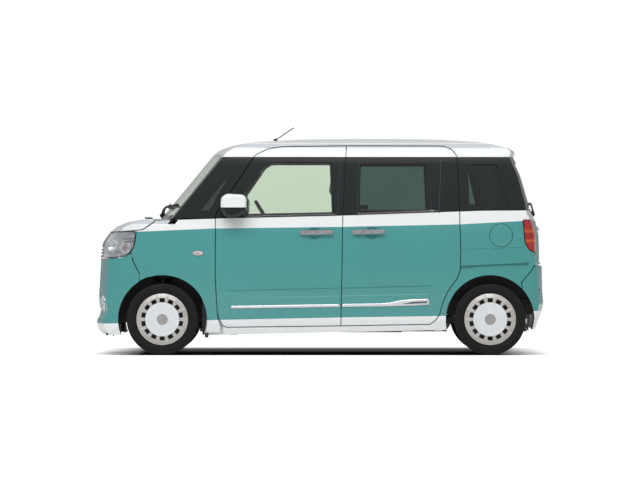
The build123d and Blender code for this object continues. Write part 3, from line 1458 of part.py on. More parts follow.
rim_rear_right.part.label = "rim_rear_right"
export_step(rim_rear_right.part, "parts/rim_rear_right.step")
with BuildPart() as cover_rear_right:
    add(wheel_rr[2])
cover_rear_right.part.label = "cover_rear_right"
export_step(cover_rear_right.part, "parts/cover_rear_right.step")
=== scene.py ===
"""Looks of a tall-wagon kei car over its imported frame.

Metres, +Z up, the car faces -X and its left side faces -Y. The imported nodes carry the
forms; this file dresses them and adds seats, trims, lamps' insides and small fittings.
"""

import logging
import math
from collections.abc import Callable
from dataclasses import dataclass
from enum import Enum
from functools import cache

import bmesh
import bpy
import numpy as np
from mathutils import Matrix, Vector


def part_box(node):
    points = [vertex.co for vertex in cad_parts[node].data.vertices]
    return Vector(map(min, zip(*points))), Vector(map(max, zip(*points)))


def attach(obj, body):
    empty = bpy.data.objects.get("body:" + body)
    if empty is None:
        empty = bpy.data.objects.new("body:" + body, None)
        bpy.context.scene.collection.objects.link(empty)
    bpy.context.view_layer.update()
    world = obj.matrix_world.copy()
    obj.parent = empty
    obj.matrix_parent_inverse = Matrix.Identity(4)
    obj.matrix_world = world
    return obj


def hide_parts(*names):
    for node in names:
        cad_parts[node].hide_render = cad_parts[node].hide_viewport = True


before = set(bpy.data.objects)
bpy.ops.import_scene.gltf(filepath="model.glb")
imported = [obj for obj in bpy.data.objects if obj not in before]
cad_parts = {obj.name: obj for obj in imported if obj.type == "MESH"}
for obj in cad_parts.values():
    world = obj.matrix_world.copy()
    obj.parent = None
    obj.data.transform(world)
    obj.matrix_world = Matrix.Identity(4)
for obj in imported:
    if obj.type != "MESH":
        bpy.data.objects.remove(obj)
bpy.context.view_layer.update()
log = logging.getLogger("kei_car")

Colour = tuple[float, float, float]
Line = list[tuple[float, float]]
Point = tuple[float, float, float]
Shape = tuple[np.ndarray, np.ndarray]
Sockets = dict[str, object]

# Lines of the side view, as (x, z) points.
BELT: Line = [(-1.065, 1.012), (-0.783, 1.022), (0.165, 1.044), (1.199, 1.080),
              (1.564, 1.083)]
BAND_LOW: Line = [(-1.364, 0.924), (-0.790, 0.948), (0.163, 0.960), (1.050, 0.979),
                  (1.526, 1.005)]
SKIRT_TOP: Line = [(-1.510, 0.239), (-0.840, 0.262), (0.155, 0.282), (0.943, 0.294),
                   (1.150, 0.330), (1.200, 0.330)]
DOOR_PANE: Line = [(-0.576, 1.050), (-0.569, 1.207), (-0.422, 1.418), (-0.373, 1.447),
                   (0.082, 1.447), (0.099, 1.064)]
SLIDE_PANE: Line = [(0.291, 1.083), (0.299, 1.436), (0.823, 1.436), (0.837, 1.083)]
SLIDE_CLEAR: Line = [(0.291, 1.088), (0.297, 1.436), (0.800, 1.436), (0.818, 1.088)]
QUARTER_PANE: Line = [(1.109, 1.090), (1.097, 1.430), (1.331, 1.430), (1.413, 1.100)]
QUARTER_CLEAR: Line = [(1.092, 1.130), (1.087, 1.385), (1.146, 1.385), (1.205, 1.130)]
LAMP_RIM: Line = [(-1.570, 0.9195), (-1.530, 0.9225), (-1.480, 0.925), (-1.400, 0.927),
                  (-1.383, 0.921), (-1.382, 0.900), (-1.385, 0.862), (-1.394, 0.825),
                  (-1.409, 0.789), (-1.440, 0.753), (-1.499, 0.735), (-1.562, 0.731),
                  (-1.606, 0.731)]
RAIL_Z = 1.485
# Cabin faces: how far the normal leans inwards, or down above a height.
INWARD, DOWNWARD, CEILING_Z = -0.35, -0.6, 1.30
FRONT_AXLE_X, REAR_AXLE_X, WHEEL_Z = -1.181, 1.274, 0.268
ARCH_R, FENDER_R = 0.3315, 0.3345
LEFTWARD: Point = (0.0, -1.0, 0.0)
REARWARD: Point = (1.0, 0.0, 0.0)
# Distance between the points along a raised strip, except at its ends.
BAND_STEP = 0.03
# Aim that lands points on a rear face.
TO_REAR = math.radians(90.0)
# Scouts start outside the car: left of it, behind it and in front of it.
LEFT_OF, BEHIND, AHEAD = -1.1, 1.95, -2.2
# Share of the floor's glow and the surroundings' white that reflections see: from the
# first two slopes of the ray to the last two shares.
GLOSSY_RISE = (-0.1, 0.6, 0.2, 0.95)


class Side(Enum):
    """Side of the car, by the sign of Y."""

    LEFT = -1.0
    RIGHT = 1.0

    @property
    def word(self) -> str:
        """Name of the side in lower case."""
        return self.name.lower()


def display(red: int, green: int, blue: int) -> Colour:
    """Linear colour of an 8-bit display colour, each component from 0 to 255."""
    shares = (value / 255.0 for value in (red, green, blue))
    return tuple(share / 12.92 if share <= 0.04045 else ((share + 0.055) / 1.055) ** 2.4
                 for share in shares)


# ------------------------------------------------------------------ shader helpers
class Tree:
    """Short ways to add and join nodes in one node tree."""

    def __init__(self, tree: bpy.types.NodeTree) -> None:
        """Keep the tree that nodes are added to."""
        self.tree = tree

    def feed(self, socket: object, value: object) -> None:
        """Give a socket a link or a plain value."""
        if isinstance(value, bpy.types.NodeSocket):
            self.tree.links.new(value, socket)
        elif isinstance(value, tuple) and len(value) == 3 and socket.type == "RGBA":
            socket.default_value = (*value, 1.0)
        else:
            socket.default_value = value

    def add(self, kind: str, inputs: dict | None = None, **settings: object
            ) -> bpy.types.Node:
        """Add a node.

        Args:
            kind: Blender's node type name.
            inputs: Links or plain values, by input name or number.
            **settings: Attribute values of the node.

        Returns:
            The new node.
        """
        node = self.tree.nodes.new(kind)
        for key, value in settings.items():
            setattr(node, key, value)
        for key, value in (inputs or {}).items():
            self.feed(node.inputs[key], value)
        return node

    def maths(self, operation: str, *values: object, clamp: bool = False) -> object:
        """Math node on plain values or sockets; returns its output."""
        return self.add("ShaderNodeMath", dict(enumerate(values)), operation=operation,
                        use_clamp=clamp).outputs[0]

    def times(self, first: object, second: object) -> object:
        """Product of two values."""
        return self.maths("MULTIPLY", first, second)

    def plus(self, first: object, second: object, clamp: bool = False) -> object:
        """Sum of two values, clamped to 0..1 if asked for."""
        return self.maths("ADD", first, second, clamp=clamp)

    def rest(self, share: object) -> object:
        """What a share leaves of 1."""
        return self.maths("SUBTRACT", 1.0, share)

    def blend(self, share: object, first: object, second: object) -> object:
        """Colour mix of first and second by share; returns the colour."""
        return self.add("ShaderNodeMix", {0: share, 6: first, 7: second},
                        data_type="RGBA").outputs[2]

    def tint(self, colour: object, value: object) -> object:
        """Colour with its brightness times a value; returns the colour."""
        return self.add("ShaderNodeHueSaturation",
                        {"Color": colour, "Value": value}).outputs[0]

    def noise(self, vector: object, scale: float, detail: float = 3.0,
              roughness: float = 0.5) -> object:
        """Noise texture value at a vector; returns the factor."""
        return self.add("ShaderNodeTexNoise", {"Vector": vector, "Scale": scale,
                                               "Detail": detail,
                                               "Roughness": roughness}).outputs[0]

    def spread(self, value: object, low: float, high: float, to_low: float = 0.0,
               to_high: float = 1.0) -> object:
        """Clamped linear map of a value from one range to another."""
        return self.add("ShaderNodeMapRange", dict(enumerate(
            (value, low, high, to_low, to_high)))).outputs[0]

    def vary(self, noise: object, low: float, high: float) -> object:
        """Noise from its usual range, 0.3 to 0.7, to another range."""
        return self.spread(noise, 0.3, 0.7, low, high)

    def place(self, output: str = "Object") -> object:
        """An output of a Texture Coordinate node."""
        return self.add("ShaderNodeTexCoord").outputs[output]

    def split(self, vector: object) -> tuple[object, object, object]:
        """The X, Y and Z parts of a vector."""
        return tuple(self.add("ShaderNodeSeparateXYZ", {0: vector}).outputs)

    def along(self, x: object, line: Line) -> object:
        """Height of a broken line at x: its first run plus each change of slope.

        The value is z0 + s0 (x - x0) + the sum of (s_i - s_(i-1)) max(x - x_i, 0).

        Args:
            x: Socket with the position along the line.
            line: The line's points, in order.

        Returns:
            The socket with the line's height.
        """
        slopes = [(b[1] - a[1]) / (b[0] - a[0]) for a, b in zip(line, line[1:])]
        level = line[0][1] - slopes[0] * line[0][0]
        total = self.maths("MULTIPLY_ADD", x, slopes[0], level)
        for (at, _), before, after in zip(line[1:-1], slopes, slopes[1:]):
            past = self.maths("MAXIMUM", self.maths("SUBTRACT", x, at), 0.0)
            total = self.maths("MULTIPLY_ADD", past, after - before, total)
        return total

    def bump(self, height: object, distance: float, strength: float) -> object:
        """Normal from a height; returns the normal socket."""
        return self.add("ShaderNodeBump", {"Height": height, "Distance": distance,
                                           "Strength": strength}).outputs[0]

    def use(self, effect: Callable, **values: float) -> Sockets:
        """Outputs of a shared effect's group, placed with its own input values."""
        return self.add("ShaderNodeGroup", values,
                        node_tree=shared(effect, tuple(values))).outputs


def emptied(owner: bpy.types.Material | bpy.types.World) -> Tree:
    """Empty node tree of a material or world.

    Args:
        owner: What the tree belongs to.

    Returns:
        A helper for the tree.
    """
    owner.use_nodes = True
    owner.node_tree.nodes.clear()
    return Tree(owner.node_tree)


# ------------------------------------------------------------------ shared effects
@cache
def shared(effect: Callable, names: tuple[str, ...]) -> bpy.types.NodeTree:
    """Node group of an effect, made at its first use.

    Args:
        effect: Function of a tree and the group's inputs that returns its outputs.
        names: Names of the inputs.

    Returns:
        The group.
    """
    group = bpy.data.node_groups.new(effect.__name__, "ShaderNodeTree")
    kind = "NodeSocketFloat"
    for name in names:
        group.interface.new_socket(name=name, in_out="INPUT", socket_type=kind)
    tree = Tree(group)
    outputs = effect(tree, tree.add("NodeGroupInput").outputs)
    for name in outputs:
        group.interface.new_socket(name=name, in_out="OUTPUT", socket_type=kind)
    tree.add("NodeGroupOutput", outputs)
    return group


def grain(tree: Tree, given: Sockets) -> Sockets:
    """Moulded grain: smooth cells with finer noise, and a broad mottling.

    Args:
        tree: The group's tree.
        given: The group's inputs.

    Returns:
        The outputs by name.
    """
    here = tree.place()
    cells = tree.add("ShaderNodeTexVoronoi", {"Vector": here, "Scale": given["Scale"]},
                     feature="SMOOTH_F1").outputs["Distance"]
    fine = tree.times(tree.noise(here, 2600.0, 2.0), 0.4)
    return {"Height": tree.plus(cells, fine), "Mottle": tree.noise(here, 7.0, 4.0)}


def film(tree: Tree, given: Sockets) -> Sockets:
    """Road film: most near the ground, broken up by noise.

    Args:
        tree: The group's tree.
        given: The group's inputs.

    Returns:
        The outputs by name.
    """
    here = tree.place()
    height = tree.maths("DIVIDE", tree.split(here)[2], given["Top"])
    low = tree.maths("SUBTRACT", 1.0, height, clamp=True)
    patch = tree.spread(tree.noise(here, 9.0, 6.0, 0.6), 0.35, 0.75)
    return {"Mask": tree.maths("MULTIPLY", tree.times(low, patch), given["Amount"],
                               clamp=True)}


def bands(tree: Tree, _: Sockets) -> Sockets:
    """Paint bands of the side view, and the faces that look into the cabin.

    Black lies between the belt line and the roof rail, White above the stripe's lower
    edge and in the skirt, and Inside is 1 where the surface faces the car's middle or
    the floor of the cabin.

    Args:
        tree: The group's tree.
        _: The group's inputs.

    Returns:
        The outputs by name.
    """
    x, y, z = tree.split(tree.place())
    _, across, up = tree.split(tree.place("Normal"))
    over_belt = tree.maths("GREATER_THAN", z, tree.along(x, BELT))
    over_rail = tree.maths("GREATER_THAN", z, RAIL_Z)
    over_teal = tree.maths("GREATER_THAN", z, tree.along(x, BAND_LOW))
    skirt = tree.maths("LESS_THAN", z, tree.along(x, SKIRT_TOP))
    outward = tree.times(across, tree.maths("SIGN", y))
    inward = tree.maths("LESS_THAN", outward, INWARD)
    ceiling = tree.times(tree.maths("LESS_THAN", up, DOWNWARD),
                         tree.maths("GREATER_THAN", z, CEILING_Z))
    return {"Black": tree.times(over_belt, tree.rest(over_rail)),
            "White": tree.maths("MAXIMUM", over_teal, skirt),
            "Inside": tree.maths("MAXIMUM", inward, ceiling)}


def wheel(tree: Tree, _: Sockets) -> Sockets:
    """Radius from the nearer axle's line: the length of (x - axle x, z - axle z).

    Args:
        tree: The group's tree.
        _: The group's inputs.

    Returns:
        The outputs by name.
    """
    x, _, z = tree.split(tree.place())
    rear = tree.maths("GREATER_THAN", x, 0.0)
    axle = tree.maths("MULTIPLY_ADD", rear, REAR_AXLE_X - FRONT_AXLE_X, FRONT_AXLE_X)
    across = tree.maths("SUBTRACT", x, axle)
    up = tree.maths("SUBTRACT", z, WHEEL_Z)
    square = tree.plus(tree.times(across, across), tree.times(up, up))
    return {"Radius": tree.maths("SQRT", square)}


def weave(tree: Tree, given: Sockets) -> Sockets:
    """Woven cloth: two crossed waves with a fine noise, as height and a fleck.

    Args:
        tree: The group's tree.
        given: The group's inputs.

    Returns:
        The outputs by name.
    """
    here = tree.place()
    x, y, z = tree.split(here)
    pitch = tree.times(given["Scale"], 6.28)
    first, second = (tree.maths("SINE", tree.times(run, pitch))
                     for run in (tree.plus(x, z), y))
    height = tree.plus(tree.times(first, second), tree.noise(here, 1500.0, 2.0))
    return {"Height": height, "Fleck": tree.noise(here, 420.0, 3.0)}


# ------------------------------------------------------------------ finishes
@dataclass(frozen=True)
class Finish:
    """A named finish; each kind says what goes into its Principled shader."""

    name: str

    def inputs(self, tree: Tree) -> Sockets:
        """Links and plain values of the shader's inputs, by name.

        Args:
            tree: The material's tree.

        Returns:
            Links and plain values by input name.
        """
        raise NotImplementedError

    def make(self) -> bpy.types.Material:
        """Build the material of this finish.

        Returns:
            The finished material.
        """
        material = bpy.data.materials.new(self.name)
        tree = emptied(material)
        shader = tree.add("ShaderNodeBsdfPrincipled", self.inputs(tree))
        tree.add("ShaderNodeOutputMaterial", {0: shader.outputs[0]})
        return material


class PaintScheme(Enum):
    """Which painted areas a panel has."""

    TWO_TONE = "two_tone"
    WHITE = "white"
    CAP = "cap"


@dataclass(frozen=True)
class Paint(Finish):
    """Body paint in two tones, with trim on the faces that look into the cabin."""

    scheme: PaintScheme
    teal: Colour = display(79, 158, 156)
    white: Colour = display(248, 250, 251)
    # Painted shade: the grey that white faces take where they look up.
    top_shade: Colour = display(206, 212, 216)
    black: Colour = display(18, 25, 27)
    trim: Colour = display(88, 88, 86)
    # Painted shade: near black in place of the paint inside the wheel arches' radius.
    wheel_well_shade: Colour = (0.008, 0.009, 0.010)
    dust: Colour = display(120, 116, 108)
    coat: float = 0.5
    fade: tuple[float, float] = (0.60, 0.95)
    # Slopes of the normal over which white faces darken with painted shade.
    top_shade_slopes: tuple[float, float] = (0.18, 0.48)
    cap_z: float = 1.105

    def inputs(self, tree: Tree) -> Sockets:
        """Paint by scheme, painted shade, road film and cabin trim under a coat that fades
        aslant.

        Args:
            tree: The material's tree.

        Returns:
            Links and plain values by input name.
        """
        here, bands_ = tree.place(), tree.use(bands)
        inside, black = bands_["Inside"], bands_["Black"]
        coat = tree.times(tree.rest(inside), self.coat)
        # Painted shade: the white darkens to a grey as the face turns to look up.
        up = tree.spread(tree.split(tree.place("Normal"))[2], *self.top_shade_slopes)
        white = tree.blend(up, self.white, self.top_shade)
        if self.scheme is PaintScheme.TWO_TONE:
            flake = tree.vary(tree.noise(here, 2400.0, 1.0), 0.93, 1.07)
            broad = tree.vary(tree.noise(here, 2.2, 2.0), 0.985, 1.015)
            colour = tree.tint(self.teal, tree.times(flake, broad))
            colour = tree.blend(bands_["White"], colour, white)
            colour = tree.blend(black, colour, self.black)
            # Painted shade: paint inside the arch's radius round an axle turns near black
            # and loses its coat.
            wheel_well_shade = tree.maths("LESS_THAN", tree.use(wheel)["Radius"], ARCH_R)
            colour = tree.blend(wheel_well_shade, colour, self.wheel_well_shade)
            coat = tree.times(coat, tree.maths("MULTIPLY_ADD", black, -0.9, 1.0))
            coat = tree.times(coat, tree.rest(wheel_well_shade))
        elif self.scheme is PaintScheme.CAP:
            cap = tree.maths("GREATER_THAN", tree.split(here)[2], self.cap_z)
            colour = tree.blend(cap, self.black, self.white)
        else:
            colour = white
        dust = tree.use(film, Top=0.30, Amount=0.10)["Mask"]
        grain_ = tree.use(grain, Scale=700.0)
        lining = tree.tint(self.trim, tree.vary(grain_["Mottle"], 0.85, 1.1))
        rough = tree.vary(tree.noise(here, 40.0, 3.0), 0.20, 0.26)
        rough = tree.plus(rough, tree.times(inside, 0.38))
        facing = tree.add("ShaderNodeLayerWeight").outputs["Facing"]
        height = tree.plus(tree.times(tree.noise(here, 260.0, 1.0), 0.1),
                           tree.times(inside, grain_["Height"]))
        colour = tree.blend(inside, tree.blend(dust, colour, self.dust), lining)
        return {"Base Color": colour,
                "Roughness": tree.plus(rough, tree.times(dust, 0.4), clamp=True),
                "Coat Weight": tree.times(coat, tree.spread(facing, *self.fade, 1.0, 0.05)),
                "Coat Roughness": 0.04, "Specular IOR Level": 0.3,
                "Normal": tree.bump(height, 0.0002, 0.35)}


@dataclass(frozen=True)
class Plastic(Finish):
    """Moulded plastic with a grain and a little road film."""

    colour: Colour
    rough: float = 0.5
    grain: float = 900.0
    depth: float = 0.00025
    film: float = 0.25
    metallic: float = 0.0
    dust: Colour = display(112, 106, 98)

    def inputs(self, tree: Tree) -> Sockets:
        """Mottled colour under road film, with the grain as bump.

        Args:
            tree: The material's tree.

        Returns:
            Links and plain values by input name.
        """
        grain_ = tree.use(grain, Scale=self.grain)
        mottle = grain_["Mottle"]
        dust = tree.use(film, Top=0.45, Amount=self.film)["Mask"]
        colour = tree.tint(self.colour, tree.vary(mottle, 0.82, 1.18))
        rough = tree.vary(mottle, self.rough - 0.06, self.rough + 0.08)
        return {"Base Color": tree.blend(dust, colour, self.dust),
                "Roughness": tree.plus(rough, tree.times(dust, 0.3), clamp=True),
                "Metallic": self.metallic,
                "Normal": tree.bump(grain_["Height"], self.depth, 0.5)}


@dataclass(frozen=True)
class Glass(Finish):
    """Tinted safety glass with faint waves."""

    colour: Colour
    rough: float = 0.01

    def inputs(self, tree: Tree) -> Sockets:
        """Faint haze in the tint and the roughness.

        Args:
            tree: The material's tree.

        Returns:
            Links and plain values by input name.
        """
        haze = tree.spread(tree.noise(tree.place(), 3.0, 4.0), 0.35, 0.7)
        pale = tuple(min(1.0, part * 1.03) for part in self.colour)
        return {"Base Color": tree.blend(haze, self.colour, pale),
                "Roughness": tree.spread(haze, 0.0, 1.0, self.rough, self.rough + 0.012),
                "Transmission Weight": 1.0, "IOR": 1.45}


@dataclass(frozen=True)
class Lens(Finish):
    """Lamp lens: clear or coloured plastic with moulded ribs."""

    colour: Colour
    ribs: float = 0.0
    see_through: float = 1.0
    film: float = 0.0
    # Heights of bands where a painted highlight blends the tint towards a bright orange
    # red.
    glow: tuple[float, ...] = ()
    painted_glow_tint: Colour = (0.95, 0.17, 0.02)

    def inputs(self, tree: Tree) -> Sockets:
        """Tint with painted highlight bands, ribs as bump, and a film that thickens aslant.

        Args:
            tree: The material's tree.

        Returns:
            Links and plain values by input name.
        """
        here = tree.place()
        z = tree.split(here)[2]
        colour = tree.tint(self.colour, tree.vary(tree.noise(here, 30.0, 3.0), 0.9, 1.06))
        # Painted highlight: soft bands at these heights turn bright orange red.
        for height in self.glow:
            away = tree.maths("ABSOLUTE", tree.maths("SUBTRACT", z, height))
            colour = tree.blend(tree.spread(away, 0.017, 0.003, 0.0, 0.85), colour,
                                self.painted_glow_tint)
        found = {"Base Color": colour,
                 "Roughness": tree.vary(tree.noise(here, 12.0, 2.0), 0.02, 0.06),
                 "Transmission Weight": self.see_through, "IOR": 1.49}
        if self.ribs > 0.0:
            wave = tree.maths("SINE", tree.times(z, 900.0))
            found["Normal"] = tree.bump(wave, self.ribs, 0.6)
        if self.film > 0.0:
            edge = tree.add("ShaderNodeLayerWeight", {"Blend": 0.35}).outputs["Facing"]
            found["Alpha"] = tree.spread(edge, 0.0, 1.0, self.film, self.film + 0.45)
        return found


@dataclass(frozen=True)
class Chrome(Finish):
    """Bright plated trim with faint polishing marks."""

    colour: Colour = display(214, 216, 219)
    rough: float = 0.10

    def inputs(self, tree: Tree) -> Sockets:
        """Smears in colour and roughness on bare metal.

        Args:
            tree: The material's tree.

        Returns:
            Links and plain values by input name.
        """
        here = tree.place()
        smear = tree.noise(here, 60.0, 5.0)
        return {"Base Color": tree.tint(self.colour, tree.vary(smear, 0.92, 1.05)),
                "Roughness": tree.vary(smear, self.rough, self.rough + 0.08),
                "Metallic": 1.0,
                "Normal": tree.bump(tree.noise(here, 900.0, 2.0), 0.00005, 0.2)}


@dataclass(frozen=True)
class Metal(Finish):
    """Coated, cast or bare metal of the running gear."""

    colour: Colour
    rough: float = 0.55
    metallic: float = 0.6
    cast: float = 300.0
    rust: float = 0.15
    rust_tint: Colour = display(112, 66, 40)
    dust: Colour = display(104, 98, 90)

    def inputs(self, tree: Tree) -> Sockets:
        """Mottled colour with rust spots under road film.

        Args:
            tree: The material's tree.

        Returns:
            Links and plain values by input name.
        """
        here = tree.place()
        mottle = tree.noise(here, 18.0, 5.0)
        spots = tree.spread(tree.noise(here, 34.0, 6.0, 0.65), 0.60, 0.72)
        colour = tree.blend(tree.times(spots, self.rust),
                            tree.tint(self.colour, tree.vary(mottle, 0.75, 1.25)),
                            self.rust_tint)
        dust = tree.use(film, Top=0.6, Amount=0.35)["Mask"]
        rough = tree.vary(mottle, self.rough - 0.08, self.rough + 0.12)
        return {"Base Color": tree.blend(dust, colour, self.dust),
                "Roughness": tree.plus(rough, tree.times(spots, 0.2), clamp=True),
                "Metallic": self.metallic,
                "Normal": tree.bump(tree.noise(here, self.cast, 4.0), 0.0006, 0.4)}


@dataclass(frozen=True)
class Rubber(Finish):
    """Tyre rubber: sidewall rings and a dusty tread."""

    colour: Colour = display(13, 17, 17)
    dust: Colour = display(62, 62, 59)
    shoulder_grey: Colour = display(44, 45, 44)

    def inputs(self, tree: Tree) -> Sockets:
        """Dust all over, a lighter grey from the shoulder out, and fine rings on the
        sidewall.

        Args:
            tree: The material's tree.

        Returns:
            Links and plain values by input name.
        """
        here = tree.place()
        radius = tree.use(wheel)["Radius"]
        rings = tree.maths("SINE", tree.times(radius, 1500.0))
        # Lighter grey from the shoulder over the tread, rising with the radius.
        shoulder_grey = tree.spread(radius, 0.252, 0.262)
        dust = tree.spread(tree.noise(here, 26.0, 5.0, 0.6), 0.35, 0.7)
        colour = tree.blend(tree.times(dust, 0.12), self.colour, self.dust)
        wall = tree.times(tree.spread(radius, 0.216, 0.218),
                          tree.spread(radius, 0.246, 0.244))
        height = tree.plus(tree.times(rings, tree.times(wall, 0.5)),
                           tree.times(tree.noise(here, 700.0, 3.0), 0.6))
        return {"Base Color": tree.blend(tree.times(shoulder_grey, 0.4), colour, self.shoulder_grey),
                "Roughness": tree.spread(dust, 0.0, 1.0, 0.62, 0.85),
                "Specular IOR Level": 0.25, "Normal": tree.bump(height, 0.0006, 0.6)}


@dataclass(frozen=True)
class Cover(Finish):
    """Wheel cover: white middle, silver ring and a grey centre cap."""

    silver: Colour = display(196, 192, 188)
    white: Colour = display(236, 240, 243)
    cap: Colour = display(168, 166, 164)
    dust: Colour = display(120, 112, 102)
    disc_r: float = 0.1265
    cap_r: float = 0.041

    def inputs(self, tree: Tree) -> Sockets:
        """Three colours by radius under a little dust; the ring is part metal.

        Args:
            tree: The material's tree.

        Returns:
            Links and plain values by input name.
        """
        here = tree.place()
        radius = tree.use(wheel)["Radius"]
        disc = tree.maths("LESS_THAN", radius, self.disc_r)
        cap = tree.maths("LESS_THAN", radius, self.cap_r)
        dust = tree.spread(tree.noise(here, 22.0, 5.0), 0.4, 0.75)
        colour = tree.blend(cap, tree.blend(disc, self.silver, self.white), self.cap)
        return {"Base Color": tree.blend(tree.times(dust, 0.10), colour, self.dust),
                "Roughness": tree.vary(tree.noise(here, 50.0, 3.0), 0.28, 0.40),
                "Metallic": tree.times(tree.rest(disc), 0.35),
                "Normal": tree.bump(tree.noise(here, 1200.0, 2.0), 0.0001, 0.2)}


@dataclass(frozen=True)
class Cloth(Finish):
    """Woven seat or lining cloth."""

    colour: Colour
    fleck: Colour
    scale: float = 320.0

    def inputs(self, tree: Tree) -> Sockets:
        """Flecked weave with a sheen.

        Args:
            tree: The material's tree.

        Returns:
            Links and plain values by input name.
        """
        weave_ = tree.use(weave, Scale=self.scale)
        share = tree.spread(weave_["Fleck"], 0.42, 0.62, 0.0, 0.5)
        return {"Base Color": tree.blend(share, self.colour, self.fleck),
                "Roughness": tree.vary(weave_["Fleck"], 0.82, 0.95),
                "Sheen Weight": 0.25, "Sheen Roughness": 0.5,
                "Normal": tree.bump(weave_["Height"], 0.0005, 0.5)}


# Every finish of the car by the name of its material.
FINISHES = {finish.name: finish for finish in (
    Paint("paint_two_tone", PaintScheme.TWO_TONE),
    Paint("paint_white_gloss", PaintScheme.WHITE),
    Paint("mirror_cap_paint", PaintScheme.CAP),
    Plastic("black_grained", display(30, 31, 32)),
    Plastic("black_smooth", display(20, 23, 24), 0.18, 1500.0, 0.00004, 0.05),
    Plastic("cabin_trim", display(92, 88, 82), 0.6, 650.0, 0.0004, 0.0),
    Plastic("seal_rubber", display(18, 20, 21), 0.42, 1200.0, 0.0001, 0.05),
    Plastic("border_print", display(12, 15, 17), 0.25, 2000.0, 0.00003, 0.0),
    Plastic("lamp_box_silver", display(212, 215, 217), 0.28, 900.0, 0.00006, 0.0, 0.35),
    Plastic("cover_rib_silver", display(205, 203, 200), 0.34, 1400.0, 0.00005, 0.15, 0.3),
    Chrome("bright_plating"),
    Chrome("smoked_plating", display(96, 100, 104), 0.16),
    Chrome("lamp_silver", display(206, 210, 214), 0.18),
    Chrome("mirror_silver", display(200, 208, 212), 0.02),
    Lens("lens_front", (0.96, 0.97, 0.98)),
    Lens("lens_clear_cover", (0.80, 0.84, 0.86), 0.0, 0.0, 0.10),
    Lens("lens_frosted", display(226, 222, 222), 0.0002, 0.25),
    Lens("lens_amber_bulb", display(206, 106, 70), 0.0, 0.15),
    Lens("lens_deep_red", display(104, 14, 14), 0.0004, 0.1),
    Lens("lens_rear", (0.62, 0.030, 0.024), 0.0006, 0.4, glow=(0.929, 0.855)),
    Glass("glass_green", (0.75, 0.83, 0.73)),
    Glass("glass_privacy", (0.20, 0.285, 0.26)),
    Rubber("tyre_rubber"),
    Cover("cover_paint"),
    Cloth("seat_cloth", display(58, 56, 53), display(96, 92, 86)),
    Metal("rim_black", display(28, 28, 29), 0.5, 0.3, 300.0, 0.1),
    Metal("underbody_coating", display(38, 39, 41), 0.6, 0.2),
    Metal("bare_iron", display(96, 90, 84), 0.6, 0.7, 240.0, 0.5),
    Metal("cast_alloy", display(150, 150, 152), 0.42, 0.85, 260.0, 0.05),
)}

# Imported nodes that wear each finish.
DRESSED = {
    "paint_two_tone": "side_frames door_front_left door_front_right sliding_doors "
                      "front_fenders front_bumper rear_bumper tailgate tail_frame fuel_lid",
    "paint_white_gloss": "bonnet roof",
    "glass_green": "windscreen vent_glass door_glass_left door_glass_right",
    "glass_privacy": "privacy_glass tailgate_glass",
    "black_smooth": "cowl grille",
    "mirror_cap_paint": "mirror_left mirror_right",
    "black_grained": "wheel_houses steering_wheel antenna dashboard",
    "bright_plating": "door_handle_left door_handle_right sliding_handles",
    "underbody_coating": "floor_pan front_structure front_subframe rear_axle fuel_tank "
                         "seat_frames",
    "bare_iron": "knuckle_left knuckle_right",
    "cast_alloy": "engine exhaust",
    "lens_front": "headlamps",
    "lens_rear": "tail_lamps",
    "seat_cloth": "seats",
} | {finish: " ".join(f"{part}_{end}_{side.word}" for end in ("front", "rear")
                      for side in Side)
     for part, finish in (("tyre", "tyre_rubber"), ("rim", "rim_black"),
                          ("cover", "cover_paint"))}


@cache
def material_of(name: str) -> bpy.types.Material:
    """Material of a finish, made at its first use."""
    return FINISHES[name].make()


class FrameDressing:
    """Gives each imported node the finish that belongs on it."""

    def build(self) -> None:
        """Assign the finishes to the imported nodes.

        Raises:
            ValueError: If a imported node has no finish.
        """
        table = {node: name for name, nodes in DRESSED.items() for node in nodes.split()}
        for name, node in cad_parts.items():
            if name not in table:
                raise ValueError(f"no finish for packed node {name}")
            node.data.materials.clear()
            node.data.materials.append(material_of(table[name]))
            log.info("dressed %s with %s", name, table[name])


# ------------------------------------------------------------------ mesh helpers
def turns(count: int) -> np.ndarray:
    """Even angles over one turn."""
    return np.linspace(0.0, 2.0 * np.pi, count, endpoint=False)


def circle(count: int) -> np.ndarray:
    """Cosine and sine of even angles over one turn."""
    return np.stack([np.cos(turns(count)), np.sin(turns(count))], 1)


def swept(start: Point, move: Point, count: int) -> np.ndarray:
    """Even points on the straight line from start to start + move."""
    return np.array(start) + np.linspace(0.0, 1.0, count)[:, None] * np.array(move)


def quads(rows: int, columns: int, wrap: bool = False) -> np.ndarray:
    """Corner numbers of the quads of a grid, row by row.

    Quad (i, j) joins points (i, j), (i, j + 1), (i + 1, j + 1) and (i + 1, j).

    Args:
        rows: Number of rows of points.
        columns: Number of points in a row.
        wrap: Whether the last column joins the first.

    Returns:
        An array of four corner numbers for each quad.
    """
    i = np.arange(rows - 1)[:, None] * columns
    j = np.arange(columns if wrap else columns - 1)[None, :]
    k = (j + 1) % columns
    return np.stack([i + j, i + k, i + columns + k, i + columns + j], -1).reshape(-1, 4)


def linked(name: str, data: bpy.types.ID) -> bpy.types.Object:
    """Object of a mesh, camera or lamp, linked into the scene.

    Args:
        name: Name of the object.
        data: What the object shows.

    Returns:
        The object.
    """
    found = bpy.data.objects.new(name, data)
    bpy.context.scene.collection.objects.link(found)
    return found


def places(mesh: bpy.types.Mesh) -> np.ndarray:
    """Coordinates of a mesh's points, three numbers each.

    Args:
        mesh: The mesh.

    Returns:
        A row for each point.
    """
    found = np.empty(len(mesh.vertices) * 3)
    mesh.vertices.foreach_get("co", found)
    return found.reshape(-1, 3)


def final_places(piece: bpy.types.Object) -> np.ndarray:
    """Coordinates of an object's points under its modifiers."""
    graph = bpy.context.evaluated_depsgraph_get()
    return places(piece.evaluated_get(graph).to_mesh())


def wall(piece: bpy.types.Object, thick: float) -> None:
    """Thicken a sheet away from the side that its faces look to."""
    solidify = piece.modifiers.new("wall", "SOLIDIFY")
    solidify.thickness, solidify.offset = thick, -1.0


